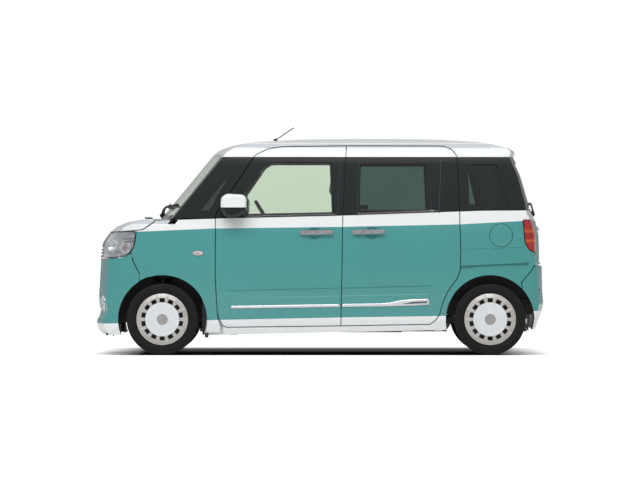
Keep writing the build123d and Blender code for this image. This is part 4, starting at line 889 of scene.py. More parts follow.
def piece_of(name: str, shape: Shape, finish: str, thick: float = 0.0,
             outward: Point = LEFTWARD) -> bpy.types.Object:
    """Object of a grid of points, with its doubles merged and its faces outward.

    Args:
        name: Name of the piece.
        shape: Points in any grid shape, with three numbers each, and corner numbers.
        finish: Name of its finish.
        thick: Wall of an open sheet, or 0 for a closed form.
        outward: Side that an open sheet's faces look to.

    Returns:
        The linked object, at the origin.
    """
    points, faces = shape[0].reshape(-1, 3), shape[1]
    corner = points[faces]
    area = np.cross(corner[:, 2] - corner[:, 0], corner[:, 3] - corner[:, 1]).sum(0)
    if thick > 0.0 and area @ np.array(outward) < 0.0:
        faces = faces[:, ::-1]
    mesh = bpy.data.meshes.new(name)
    mesh.from_pydata(points.tolist(), [], faces.tolist())
    work = bmesh.new()
    work.from_mesh(mesh)
    bmesh.ops.remove_doubles(work, verts=work.verts, dist=1e-6)
    bmesh.ops.dissolve_degenerate(work, dist=1e-7, edges=work.edges)
    if thick == 0.0:
        bmesh.ops.recalc_face_normals(work, faces=work.faces)
    work.to_mesh(mesh)
    work.free()
    mesh.polygons.foreach_set("use_smooth", [True] * len(mesh.polygons))
    mesh.materials.append(material_of(finish))
    piece = linked(name, mesh)
    if thick > 0.0:
        wall(piece, thick)
    return piece


def tube(path: np.ndarray, wide: np.ndarray | float, high: np.ndarray | float,
         up: Point = (0.0, 0.0, 1.0), sides: int = 16, power: float = 1.0) -> Shape:
    """Closed bar along a path with an oval or squarer section.

    With t the path's direction, s = t x up and n = s x t, the point at angle a is
    path + wide c(a) s + high c(a - 90 degrees) n, where c is the cosine's size raised to
    power with its sign kept. Both ends close on the path itself.

    Args:
        path: Points along the middle.
        wide: Half width, one for all points or one each.
        high: Half height, one for all points or one each.
        up: Direction that the height keeps to.
        sides: Points around the section.
        power: 1 for an oval, less for a squarer section.

    Returns:
        The points and the quads.
    """
    path = np.asarray(path, float)
    along = np.gradient(path, axis=0)
    along /= np.linalg.norm(along, axis=1, keepdims=True)
    side = np.cross(along, np.array(up))
    side /= np.linalg.norm(side, axis=1, keepdims=True)
    lift = np.cross(side, along)
    flat, tall = (np.sign(part) * np.abs(part) ** power for part in circle(sides).T)
    wide, high = (np.broadcast_to(np.asarray(size, float), len(path))
                  for size in (wide, high))
    ring = (path[:, None] + (wide[:, None] * flat)[..., None] * side[:, None]
            + (high[:, None] * tall)[..., None] * lift[:, None])
    first, last = (np.repeat(end[:, None], sides, 1) for end in (path[:1], path[-1:]))
    points = np.concatenate([first, ring, last])
    return points, quads(len(points), sides, True)


def lathe(profile: Line, origin: Point, axis: Point, count: int = 48) -> Shape:
    """Surface of revolution of (radius, height) rows about an axis.

    The point of row k at angle a is origin + height_k w + radius_k (cos a u + sin a v),
    where w is the axis and u and v are two directions across it.

    Args:
        profile: Rows of radius and height.
        origin: Where the heights begin.
        axis: Direction of the axis.
        count: Points around.

    Returns:
        The points and the quads.
    """
    w = np.array(axis, float) / np.linalg.norm(axis)
    u = np.cross(w, (0.0, 0.0, 1.0) if abs(w[2]) < 0.9 else (1.0, 0.0, 0.0))
    u /= np.linalg.norm(u)
    rows = np.array(profile, float)
    points = (np.array(origin) + rows[:, 1, None, None] * w
              + rows[:, 0, None, None] * (circle(count) @ np.stack([u, np.cross(w, u)])))
    return points, quads(len(rows), count, True)


def together(shapes: list[Shape]) -> Shape:
    """One shape out of several that don't share points.

    Args:
        shapes: Points and corner numbers of each.

    Returns:
        The points and the quads of all.
    """
    points = [p.reshape(-1, 3) for p, _ in shapes]
    starts = np.cumsum([0] + [len(p) for p in points[:-1]])
    return (np.concatenate(points),
            np.concatenate([f + s for (_, f), s in zip(shapes, starts)]))


def on_side(shape: Shape, side: Side) -> Shape:
    """A left shape, or the same across the middle of the car for the right side."""
    points, faces = shape
    return shape if side is Side.LEFT else (points * np.array([1.0, -1.0, 1.0]),
                                            faces[:, ::-1])


def resampled(line: np.ndarray, count: int, closed: bool) -> tuple[np.ndarray, float]:
    """Even samples along a broken line, and its length; a closed one drops its end.

    Args:
        line: Points of the line, two numbers each.
        count: Number of samples.
        closed: Whether the line ends where it begins.

    Returns:
        The samples and the length.
    """
    steps = np.r_[0.0, np.cumsum(np.linalg.norm(np.diff(line, axis=0), axis=1))]
    at = np.linspace(0.0, steps[-1], count, endpoint=not closed)
    return np.stack([np.interp(at, steps, line[:, k]) for k in (0, 1)], 1), steps[-1]


def outline(corners: Line, count: int = 160, soft: float = 0.02) -> np.ndarray:
    """Closed outline through corners, with the corners rounded.

    The polygon is sampled evenly along its length, and each sample becomes the mean of
    those within soft of it.

    Args:
        corners: Corner points.
        count: Number of samples.
        soft: Half length of the averaging window.

    Returns:
        The samples, two numbers each.
    """
    line, length = resampled(np.array(corners + corners[:1], float), count, True)
    reach = max(1, int(soft / (length / count)))
    return np.mean([np.roll(line, shift, 0) for shift in range(-reach, reach + 1)], 0)


def grown(line: np.ndarray, by: float) -> np.ndarray:
    """A closed outline moved outwards by a distance, across its own direction.

    Args:
        line: Points of the outline.
        by: The distance.

    Returns:
        The moved points.
    """
    along = np.roll(line, -1, 0) - np.roll(line, 1, 0)
    along /= np.linalg.norm(along, axis=1, keepdims=True)
    across = np.stack([along[:, 1], -along[:, 0]], 1)
    x, z = line.T
    area = np.sum(x * np.roll(z, -1) - np.roll(x, -1) * z)
    return line + across * by * np.sign(area)


def about(line: np.ndarray, centre: tuple[float, float], count: int) -> np.ndarray:
    """A closed outline sampled at even angles about a point inside it.

    Args:
        line: Points of the outline.
        centre: The point inside it.
        count: Number of samples.

    Returns:
        The samples.
    """
    away = line - np.array(centre)
    angle = np.unwrap(np.arctan2(away[:, 1], away[:, 0]))
    if angle[-1] < angle[0]:
        angle, away = angle[::-1], away[::-1]
    turn = 2.0 * np.pi
    angle = angle - turn * math.floor(angle[0] / turn)
    far = np.interp(turns(count), np.r_[angle - turn, angle, angle + turn],
                    np.tile(np.linalg.norm(away, axis=1), 3))
    return np.array(centre) + far[:, None] * circle(count)


def edge_rise(u: np.ndarray, size: float, soft: float) -> np.ndarray:
    """Rise from 0 at both ends of 0..1 to 1 inside, as the square root of the share."""
    return np.sqrt(np.clip(np.minimum(u, 1.0 - u) * size / soft, 0.0, 1.0))


# ------------------------------------------------------------------ trim on the skin
@dataclass(frozen=True)
class Skin:
    """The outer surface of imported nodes, on which trim is laid along +Y or an aim."""

    nodes: tuple[str, ...]
    aim: float = 0.0

    def turned(self, points: np.ndarray, back: bool = False) -> np.ndarray:
        """Points turned about Z so that the aim looks along +Y, or turned back.

        Args:
            points: Points in any grid shape.
            back: Whether they are turned back.

        Returns:
            The turned points.
        """
        angle = self.aim if back else -self.aim
        x, y, z = np.moveaxis(points, -1, 0)
        c, s = math.cos(angle), math.sin(angle)
        return np.stack([c * x - s * y, s * x + c * y, z], -1)

    def copied(self) -> bpy.types.Object:
        """Scratch mesh of all the nodes, turned by the aim.

        Returns:
            The scratch object.
        """
        points, faces, start = [], [], 0
        for name in self.nodes:
            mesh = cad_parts[name].data
            mesh.calc_loop_triangles()
            corner = np.empty(len(mesh.loop_triangles) * 3, int)
            mesh.loop_triangles.foreach_get("vertices", corner)
            points.append(places(mesh))
            faces.append(corner.reshape(-1, 3) + start)
            start += len(mesh.vertices)
        mesh = bpy.data.meshes.new("skin")
        mesh.from_pydata(self.turned(np.concatenate(points)).tolist(), [],
                         np.concatenate(faces).tolist())
        return linked("skin", mesh)

    def land(self, points: np.ndarray) -> np.ndarray:
        """Move points along the aim until they meet the nodes.

        A point that passes beside them takes the depth of the nearest one that lands.

        Args:
            points: Points outside the car, in any grid shape.

        Returns:
            The points where they land.

        Raises:
            ValueError: If every point passes beside the nodes.
        """
        start = self.turned(points).reshape(-1, 3)
        mesh = bpy.data.meshes.new("scout")
        mesh.from_pydata(start.tolist(), [], [])
        scout, target = linked("scout", mesh), self.copied()
        wrap = scout.modifiers.new("land", "SHRINKWRAP")
        wrap.wrap_method, wrap.target = "PROJECT", target
        wrap.use_project_y, wrap.use_positive_direction = True, True
        place = final_places(scout)
        for scratch in (scout, target):
            used = scratch.data
            bpy.data.objects.remove(scratch)
            bpy.data.meshes.remove(used)
        missed = np.abs(place[:, 1] - start[:, 1]) < 1e-5
        if missed.all():
            raise ValueError(f"every point passes beside {self.nodes}")
        if missed.any():
            gap = start[missed][:, None, ::2] - start[~missed][None, :, ::2]
            place[missed, 1] = place[~missed, 1][np.argmin((gap ** 2).sum(-1), 1)]
        return self.turned(place.reshape(points.shape), back=True)

    def side(self, x: np.ndarray, z: np.ndarray, lift: np.ndarray | float) -> np.ndarray:
        """Points of the left skin at x and z, moved outwards (-Y) by lift.

        Args:
            x: Places along the car.
            z: Heights.
            lift: Distance over the skin.

        Returns:
            The points.
        """
        x, z = np.broadcast_arrays(x, z)
        points = self.land(np.stack([x, np.full(x.shape, LEFT_OF), z], -1))
        points[..., 1] -= lift
        return points

    def rear(self, y: np.ndarray, z: np.ndarray, lift: np.ndarray | float,
             x: float = BEHIND) -> np.ndarray:
        """Points of a rear face at y and z from a start at x, moved back (+X) by lift.

        Args:
            y: Places across the car.
            z: Heights.
            lift: Distance over the face.
            x: Where the points start.

        Returns:
            The points.
        """
        y, z = np.broadcast_arrays(y, z)
        points = self.land(np.stack([np.full(y.shape, x), y, z], -1))
        points[..., 0] += lift
        return points

    def band(self, low: Line, high: Line, lift: float, soft: float = 0.006,
             across: int = 9) -> Shape:
        """Raised strip on the left skin between two lines from the same x to the same x.

        The strip stands lift above the skin, times the rise from each of its four edges.

        Args:
            low: Lower edge as (x, z) points.
            high: Upper edge as (x, z) points.
            lift: Height over the skin.
            soft: Width of the rounded edges.
            across: Points across the strip.

        Returns:
            The points and the quads.
        """
        x0, x1 = low[0][0], low[-1][0]
        length = x1 - x0
        end = np.linspace(0.0, soft / length, 5)
        u = np.unique(np.r_[np.linspace(0.0, 1.0, max(12, int(length / BAND_STEP))), end,
                            1.0 - end])
        v = np.linspace(0.0, 1.0, across)
        x = x0 + u * length
        bottom, top = (np.interp(x, *np.array(line).T) for line in (low, high))
        z = bottom[:, None] + v * (top - bottom)[:, None]
        wide = float(np.mean(top - bottom))
        rise = edge_rise(u, length, soft)[:, None] * edge_rise(v, wide,
                                                               min(soft, wide / 2.2))
        return self.side(x[:, None], z, lift * rise), quads(len(u), across)

    def collar(self, inner: np.ndarray, outer: np.ndarray, lift: float, across: int = 7,
               raised: bool = True) -> Shape:
        """Ring on the left skin between two closed outlines.

        At the share v of the way out it stands lift sqrt(1 - (2 v - 1)^2) above the skin,
        or lift where it is flat.

        Args:
            inner: Inner outline as (x, z) points.
            outer: Outer outline.
            lift: Height over the skin.
            across: Points across the ring.
            raised: Whether it is round rather than flat.

        Returns:
            The points and the quads.
        """
        v = np.linspace(0.0, 1.0, across)
        line = inner[None] + v[:, None, None] * (outer - inner)[None]
        rise = np.sqrt(np.clip(1.0 - (2.0 * v - 1.0) ** 2, 0.0, 1.0)) ** float(raised)
        return (self.side(line[..., 0], line[..., 1], lift * rise[:, None]),
                quads(across, len(inner), True))

    def dome(self, line: np.ndarray, lift: float, rows: int = 10) -> Shape:
        """Bulge on the left skin inside an outline: lift times sqrt(1 - share^2).

        Args:
            line: The outline as (x, z) points.
            lift: Height of the middle.
            rows: Number of rings.

        Returns:
            The points and the quads.
        """
        share = np.sin(np.linspace(0.0, np.pi / 2.0, rows))
        centre = line.mean(0)
        grid = centre + share[:, None, None] * (line - centre)
        rise = lift * np.sqrt(np.clip(1.0 - share ** 2, 0.0, 1.0))
        return (self.side(grid[..., 0], grid[..., 1], rise[:, None]),
                quads(rows, len(line), True))

    def pad(self, corner: tuple[float, float], size: tuple[float, float], lift: float,
            soft: tuple[float, float], counts: tuple[int, int]) -> Shape:
        """Raised rectangle on a rear face: lift, times the rise from each of its edges.

        Args:
            corner: Its lowest y and z.
            size: Width and height.
            lift: Height over the face.
            soft: Width of the rounded edges, across and up.
            counts: Points across and up.

        Returns:
            The points and the quads.
        """
        u, v = (np.linspace(0.0, 1.0, count) for count in counts)
        rise = edge_rise(u, size[0], soft[0])[:, None] * edge_rise(v, size[1], soft[1])
        points = self.rear((corner[0] + size[0] * u)[:, None], corner[1] + size[1] * v,
                           lift * rise)
        return points, quads(*counts)


@dataclass(frozen=True)
class Group:
    """A group of added pieces, each put on the body that carries it."""

    def fit(self, piece: bpy.types.Object, body: str, slot: str) -> None:
        """Let a piece ride on a body.

        Args:
            piece: The piece.
            body: Body that carries it.
            slot: Slot of the record; not used.
        """
        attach(piece, body)
        log.info("fitted %s on %s", piece.name, body)

    def one(self, name: str, shape: Shape, finish: str, body: str, slot: str,
            thick: float = 0.0, outward: Point = LEFTWARD) -> bpy.types.Object:
        """Make a piece, as piece_of does, and fit it on a body.

        Args:
            name: Name of the piece.
            shape: Its points and quads.
            finish: Name of its finish.
            body: Body that carries it.
            slot: Slot of the record.
            thick: Wall of an open sheet, or 0 for a closed form.
            outward: Side that an open sheet looks to.

        Returns:
            The piece.
        """
        piece = piece_of(name, shape, finish, thick, outward)
        self.fit(piece, body, slot)
        return piece

    def pair(self, name: str, shape: Shape, finish: str, body: str, slot: str,
             thick: float = 0.0, outward: Point = LEFTWARD) -> None:
        """Make a left piece and its mirrored right one.

        Args:
            name: Name without the side.
            shape: Points and quads of the left piece.
            finish: Name of its finish.
            body: Body of both, or "door" for the two front doors.
            slot: Slot of the record.
            thick: Wall of an open sheet, or 0 for a closed form.
            outward: Side that an open left sheet looks to.
        """
        for side in Side:
            look = (outward[0], -side.value * outward[1], outward[2])
            self.one(f"{name}_{side.word}", on_side(shape, side), finish,
                     f"door_{side.word}" if body == "door" else body, slot, thick, look)


# ------------------------------------------------------------------ added pieces
@dataclass(frozen=True)
class SideTrim(Group):
    """Mouldings, bright strips, seals and small lamps along both sides."""

    door_x: tuple[float, float] = (-0.669, 0.1505)
    slide_x: tuple[float, float] = (0.1625, 0.820)
    repeater: tuple[float, float] = (-0.913, 0.763)
    lid_rings: tuple[float, ...] = (0.093, 0.104, 0.115)

    def clipped(self, line: Line, span: tuple[float, float]) -> Line:
        """The part of a broken line between two x.

        Args:
            line: The line's points.
            span: The two x.

        Returns:
            The line between them.
        """
        x, z = np.array(line).T
        inside = [point for point in line if span[0] < point[0] < span[1]]
        ends = [(at, float(np.interp(at, x, z))) for at in span]
        return [ends[0], *inside, ends[1]]

    def mouldings(self) -> None:
        """Teal panel low on both doors with a bright strip, wider at the rear."""
        lines: tuple[Line, ...] = (
            [(-0.669, 0.352), (0.820, 0.370)],
            [(-0.669, 0.433), (0.820, 0.464)],
            [(-0.669, 0.3455), (0.524, 0.3625), (0.700, 0.3660), (0.820, 0.3740)],
            [(-0.669, 0.3715), (0.455, 0.3900), (0.524, 0.3960), (0.600, 0.4130),
             (0.680, 0.4210), (0.820, 0.4250)])
        for node, span, word, body in (
                ("door_front_left", self.door_x, "front_door", "door"),
                ("sliding_doors", self.slide_x, "sliding_door", "body")):
            skin = Skin((node,))
            low, high, strip_low, strip_high = (self.clipped(line, span) for line in lines)
            self.pair(f"{word}_moulding", skin.band(low, high, 0.0035, 0.008, 11),
                      "paint_two_tone", body, "paint_teal", 0.006)
            self.pair(f"{word}_bright_strip",
                      skin.band(strip_low, strip_high, 0.0085, 0.007, 13),
                      "bright_plating", body, "aluminium", 0.010)
        self.pair("ornament_inlay", Skin(("sliding_doors",)).band(
            [(0.610, 0.3815), (0.700, 0.3800), (0.806, 0.3860)],
            [(0.610, 0.3840), (0.700, 0.4060), (0.806, 0.4090)], 0.0098, 0.004, 7),
            "smoked_plating", "body", "aluminium", 0.006)

    def window_trim(self) -> None:
        """Rubber seals round the panes and the bright lines under them."""
        door = Skin(("door_front_left", "door_glass_left"))
        slide = Skin(("sliding_doors", "privacy_glass"))
        for word, skin, pane, soft, body in (
                ("front_window_seal", door, DOOR_PANE, 0.018, "door"),
                ("sliding_window_seal", slide, SLIDE_PANE, 0.014, "body")):
            line = outline(pane, 200, soft)
            self.pair(word, skin.collar(grown(line, -0.007), grown(line, 0.006), 0.003),
                      "seal_rubber", body, "black_plastic", 0.004)
        for skin, span, word, body in (
                (door, (-0.572, 0.128), "front_window_strip", "door"),
                (slide, (0.275, 0.893), "sliding_window_strip", "body")):
            base = self.clipped(BELT, span)
            for part, lift, finish, down, up, slot in (
                    ("rubber", 0.0065, "seal_rubber", 0.002, 0.020, "black_plastic"),
                    ("bright", 0.0085, "bright_plating", 0.010, 0.0135, "aluminium")):
                low, high = ([(x, z + rise) for x, z in base] for rise in (down, up))
                self.pair(f"{word}_{part}", skin.band(low, high, lift, 0.002, 7), finish,
                          body, slot, 0.006)
        z = np.linspace(1.062, 1.472, 24)[:, None]
        u = np.linspace(0.0, 1.0, 5)
        for word, skin, body, x0, x1 in (
                ("b_post_strip", door, "door", 0.1325, 0.1375),
                ("slide_front_strip", slide, "body", 0.2735, 0.2785),
                ("slide_rear_strip", slide, "body", 0.8890, 0.8950)):
            points = skin.side(x0 + (z - 1.062) * 0.040 + u * (x1 - x0), z,
                               0.0022 * edge_rise(u, 1.0, 0.3)[None])
            self.pair(word, (points, quads(24, 5)), "smoked_plating", body,
                      "black_plastic", 0.003)

    def prints(self) -> None:
        """Black borders behind the panes, with their clear openings, and the latch."""
        glass = Skin(("privacy_glass",))
        for word, pane, clear, centre, soft, tight in (
                ("sliding_pane_border", SLIDE_PANE, SLIDE_CLEAR, (0.56, 1.26), 0.016,
                 0.012),
                ("quarter_pane_border", QUARTER_PANE, QUARTER_CLEAR, (1.122, 1.20), 0.014,
                 0.010)):
            outer = about(grown(outline(pane, 400, soft), -0.003), centre, 240)
            inner = about(outline(clear, 400, tight), centre, 240)
            self.pair(word, glass.collar(inner, outer, -0.0085, 5, False), "border_print",
                      "body", "black_plastic", 0.0012)
        latch = outline([(0.297, 1.094), (0.358, 1.094), (0.358, 1.120),
                         (0.297, 1.120)], 60, 0.004)
        self.pair("pane_latch", glass.dome(latch, -0.0062), "border_print", "body",
                  "black_plastic", 0.004)

    def quarter(self) -> None:
        """Seam across the rear quarter, the rail's lip, and the round fuel lid.

        The lid's face is the quadratic that fits the skin best on rings round its
        opening, so that it goes on the curve of the quarter.
        """
        skin = Skin(("side_frames",))
        for word, low, wide, lift, finish, slot in (
                ("quarter_seam", [(1.056, 0.7908), (1.524, 0.8048)], 0.0018, 0.0003,
                 "seal_rubber", "black_plastic"),
                ("rail_lip", [(1.060, 0.6480), (1.536, 0.6640)], 0.0120, 0.0030,
                 "paint_two_tone", "paint_teal")):
            top = [(x, z + wide) for x, z in low]
            self.pair(word, skin.band(low, top, lift, 0.006, 7), finish, "body", slot,
                      0.002)
        low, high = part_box("fuel_lid")
        radius = (high[2] - low[2]) / 2.0
        x0, z0 = low[0] + 0.0043 + radius, (high[2] + low[2]) / 2.0

        def terms(x: np.ndarray, z: np.ndarray) -> np.ndarray:
            """1, x, z, x^2, x z and z^2 about the lid's middle."""
            return np.stack([0.0 * x + 1.0, x, z, x * x, x * z, z * z], -1)

        ring = np.concatenate([size * circle(72) for size in self.lid_rings])
        landed = skin.side(x0 + ring[:, 0], z0 + ring[:, 1], 0.0)[:, 1]
        share = np.linalg.lstsq(terms(*ring.T), landed, rcond=None)[0]
        rows = np.r_[np.linspace(0.02, 0.96, 12), 0.985, 1.0] * radius
        drop = np.r_[np.zeros(12), 0.0004, 0.0016]
        x, z = (rows[:, None] * part for part in circle(72).T)
        points = np.stack([x0 + x, terms(x, z) @ share + drop[:, None], z0 + z], -1)
        lid = self.one("round_fuel_lid", (points, quads(14, 72, True)), "paint_two_tone",
                       "fuel_lid", "paint_teal", 0.0040)
        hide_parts("fuel_lid")

    def lamps(self) -> None:
        """Side repeaters on the fenders."""
        for word, size, lift, finish, slot in (
                ("repeater_base", (0.0440, 0.0215), 0.004, "seal_rubber", "black_plastic"),
                ("repeater_lens", (0.0415, 0.0190), 0.011, "lens_frosted", "lens_clear"),
                ("repeater_bulb", (0.0170, 0.0075), 0.0118, "lens_amber_bulb",
                 "lens_red")):
            line = np.array(self.repeater) + circle(64) * np.array(size)
            self.pair(word, Skin(("front_fenders",)).dome(line, lift), finish, "body", slot,
                      0.003)

    def build(self) -> None:
        """Make all the side trim."""
        self.mouldings()
        self.window_trim()
        self.prints()
        self.quarter()
        self.lamps()


@dataclass(frozen=True)
class LampUnits(Group):
    """Headlamps with bowls behind clear lenses, tail lamps, fog lamps and reflectors."""

    look: Point = (-0.80, -0.60, 0.0)
    lean: float = 0.42
    fog_aim: float = math.radians(52.0)
    fog_at: Point = (-1.640, -0.575, 0.385)
    fog_start: float = 0.35

    def shell(self, word: str, front: bool, thick: float) -> bpy.types.Object:
        """Outer skin of the headlamps' solids, or the box behind it.

        A face belongs to the skin where its normal, turned to the left side, leans
        towards look by more than lean.

        Args:
            word: Last word of the piece's name.
            front: Whether it is the skin.
            thick: Its wall.

        Returns:
            The shell's object, with no finish yet.
        """
        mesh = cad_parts["headlamps"].data.copy()
        work = bmesh.new()
        work.from_mesh(mesh)
        bmesh.ops.remove_doubles(work, verts=work.verts, dist=1e-5)
        left = Vector(self.look).normalized()
        right = Vector((left.x, -left.y, left.z))
        drop = [face for face in work.faces
                if (face.normal.dot(left if face.calc_center_median().y < 0.0 else right)
                    > self.lean) != front]
        bmesh.ops.delete(work, geom=drop, context="FACES")
        if not front:
            bmesh.ops.reverse_faces(work, faces=work.faces)
        work.to_mesh(mesh)
        work.free()
        mesh.materials.clear()
        mesh.polygons.foreach_set("use_smooth", [front] * len(mesh.polygons))
        piece = linked(f"headlamp_{word}", mesh)
        wall(piece, thick)
        return piece

    def bowl(self, centre: Point, axis: Point, radius: float, depth: float) -> Shape:
        """Closed reflector bowl: height depth (r / radius)^2, with a rim and a back.

        Args:
            centre: Middle of the rim.
            axis: Direction that the bowl faces.
            radius: Radius of the rim.
            depth: Depth of the bowl.

        Returns:
            The points and the quads.
        """
        edge = 0.004
        inner = [(radius * s, depth * (s * s - 1.0)) for s in np.linspace(0.0, 1.0, 12)]
        outer = [(radius + edge, 0.0), (radius + edge, -edge),
                 (0.5 * radius, -depth * 0.75 - edge), (0.0, -depth - edge)]
        return lathe(inner + outer, centre, axis, 56)

    def bulb(self, centre: Point, axis: Point, radius: float, length: float) -> Shape:
        """Closed capsule: radius sqrt(1 - s^4) along its length.

        Args:
            centre: Middle of the bulb.
            axis: Its direction.
            radius: Its radius.
            length: Its length.

        Returns:
            The points and the quads.
        """
        rows = [(radius * math.sqrt(max(0.0, 1.0 - s ** 4)), length * s / 2.0)
                for s in np.linspace(-1.0, 1.0, 15)]
        return lathe(rows, centre, axis, 28)

    def seal(self) -> Shape:
        """Seal along the headlamp's edge, on the evened depth of the skin.

        Returns:
            The points and the quads.
        """
        smooth, _ = resampled(np.array(LAMP_RIM), 90, False)
        smooth[2:-2] = (smooth[:-4] + smooth[1:-3] + smooth[2:-2] + smooth[3:-1]
                        + smooth[4:]) / 5.0
        path = Skin(("headlamps",)).side(smooth[:, 0], smooth[:, 1], 0.0005)
        reach = 8
        around = np.lib.stride_tricks.sliding_window_view(
            np.pad(path[:, 1], reach, mode="edge"), 2 * reach + 1)
        path[:, 1] = np.minimum(np.percentile(around, 30.0, axis=1), path[:, 1] + 0.004)
        thick = np.interp(smooth[:, 1], (0.90, 0.92), (0.0030, 0.0040))
        return tube(path, thick, 0.0015, LEFTWARD, 10)

    def headlamps(self) -> None:
        """Clear lens, silver box, bowls and bulbs, dark ribs and a seal, both sides."""
        shells = (self.shell("lens", True, 0.003), self.shell("housing", False, 0.0025))
        for piece, finish in zip(shells, ("lens_clear_cover", "lamp_box_silver")):
            piece.data.materials.append(material_of(finish))
            self.fit(piece, "body", "lens_clear")
        for piece in shells:
            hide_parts("headlamps")
        for word, centre, axis, bowl, bulb_word, bulb, finish, slot in (
                ("main_bowl", (-1.556, -0.596, 0.826), (-0.72, -0.69, 0.02), (0.066, 0.045),
                 "bulb", (0.017, 0.040), "bright_plating", "aluminium"),
                ("turn_bowl", (-1.452, -0.668, 0.800), (-0.35, -0.94, 0.0), (0.034, 0.024),
                 "turn_bulb", (0.010, 0.024), "lens_amber_bulb", "lens_red")):
            self.pair(f"headlamp_{word}", self.bowl(centre, axis, *bowl), "lamp_silver",
                      "body", "lens_clear")
            self.pair(f"headlamp_{bulb_word}", self.bulb(centre, axis, *bulb), finish,
                      "body", slot)
        ribs = [tube(swept((-1.590, -0.575, z), (0.100, -0.085, 0.002), 12), 0.010, 0.0025,
                     sides=12, power=0.6) for z in (0.766, 0.778)]
        slots = [tube(swept((-1.466, -0.655, z), (0.078, -0.022, 0.006), 12), 0.006, 0.0065,
                      sides=12, power=0.5) for z in (0.868, 0.846)]
        for word, shape in (("ribs", together(ribs)), ("seal", self.seal()),
                            ("slot", together(slots))):
            self.pair(f"headlamp_{word}", shape, "seal_rubber", "body", "black_plastic")

    def tail_lamps(self) -> None:
        """Dark dividers across the tail lamps."""
        skin = Skin(("tail_lamps",))
        bars = [skin.band(*([(1.528, z), (1.612, z - 0.002)] for z in edges), 0.0012, 0.002,
                          5) for edges in ((0.9015, 0.9065), (0.8840, 0.8865))]
        self.pair("tail_lamp_dividers", together(bars), "lens_deep_red", "body", "lens_red",
                  0.0015)

    def fog_lamps(self) -> None:
        """Round fog lamps with bright rings, low on the front corners."""
        skin = Skin(("front_bumper",), aim=-self.fog_aim)
        sine, cosine = math.sin(self.fog_aim), math.cos(self.fog_aim)
        out, across = np.array([-sine, -cosine, 0.0]), np.array([cosine, -sine, 0.0])
        share = np.linspace(0.0, 1.0, 9)
        for word, radii, lifts, finish, slot in (
                ("fog_ring", (0.040, 0.047, 0.054), (0.002, 0.0085, 0.0005),
                 "bright_plating", "aluminium"),
                ("fog_lens", (0.001, 0.022, 0.0405), (0.0055, 0.0045, 0.0008),
                 "lens_frosted", "lens_clear")):
            radius, lift = (np.interp(share, (0.0, 0.5, 1.0), rows)[:, None, None]
                            for rows in (radii, lifts))
            disc = radius * (circle(72) @ np.stack([across, np.array([0.0, 0.0, 1.15])]))
            start = np.array(self.fog_at) + out * self.fog_start + disc
            points = skin.land(start) + lift * out
            self.pair(word, (points, quads(9, 72, True)), finish, "body", slot, 0.004,
                      tuple(out))

    def reflectors(self) -> None:
        """Red reflectors low on the rear bumper."""
        skin = Skin(("rear_bumper",), aim=TO_REAR)
        self.pair("rear_reflector", skin.pad((-0.600, 0.472), (0.110, 0.026), 0.005,
                                             (0.006, 0.006), (26, 7)),
                  "lens_deep_red", "body", "lens_red", 0.004, REARWARD)

    def build(self) -> None:
        """Make all the lamps."""
        self.headlamps()
        self.tail_lamps()
        self.fog_lamps()
        self.reflectors()


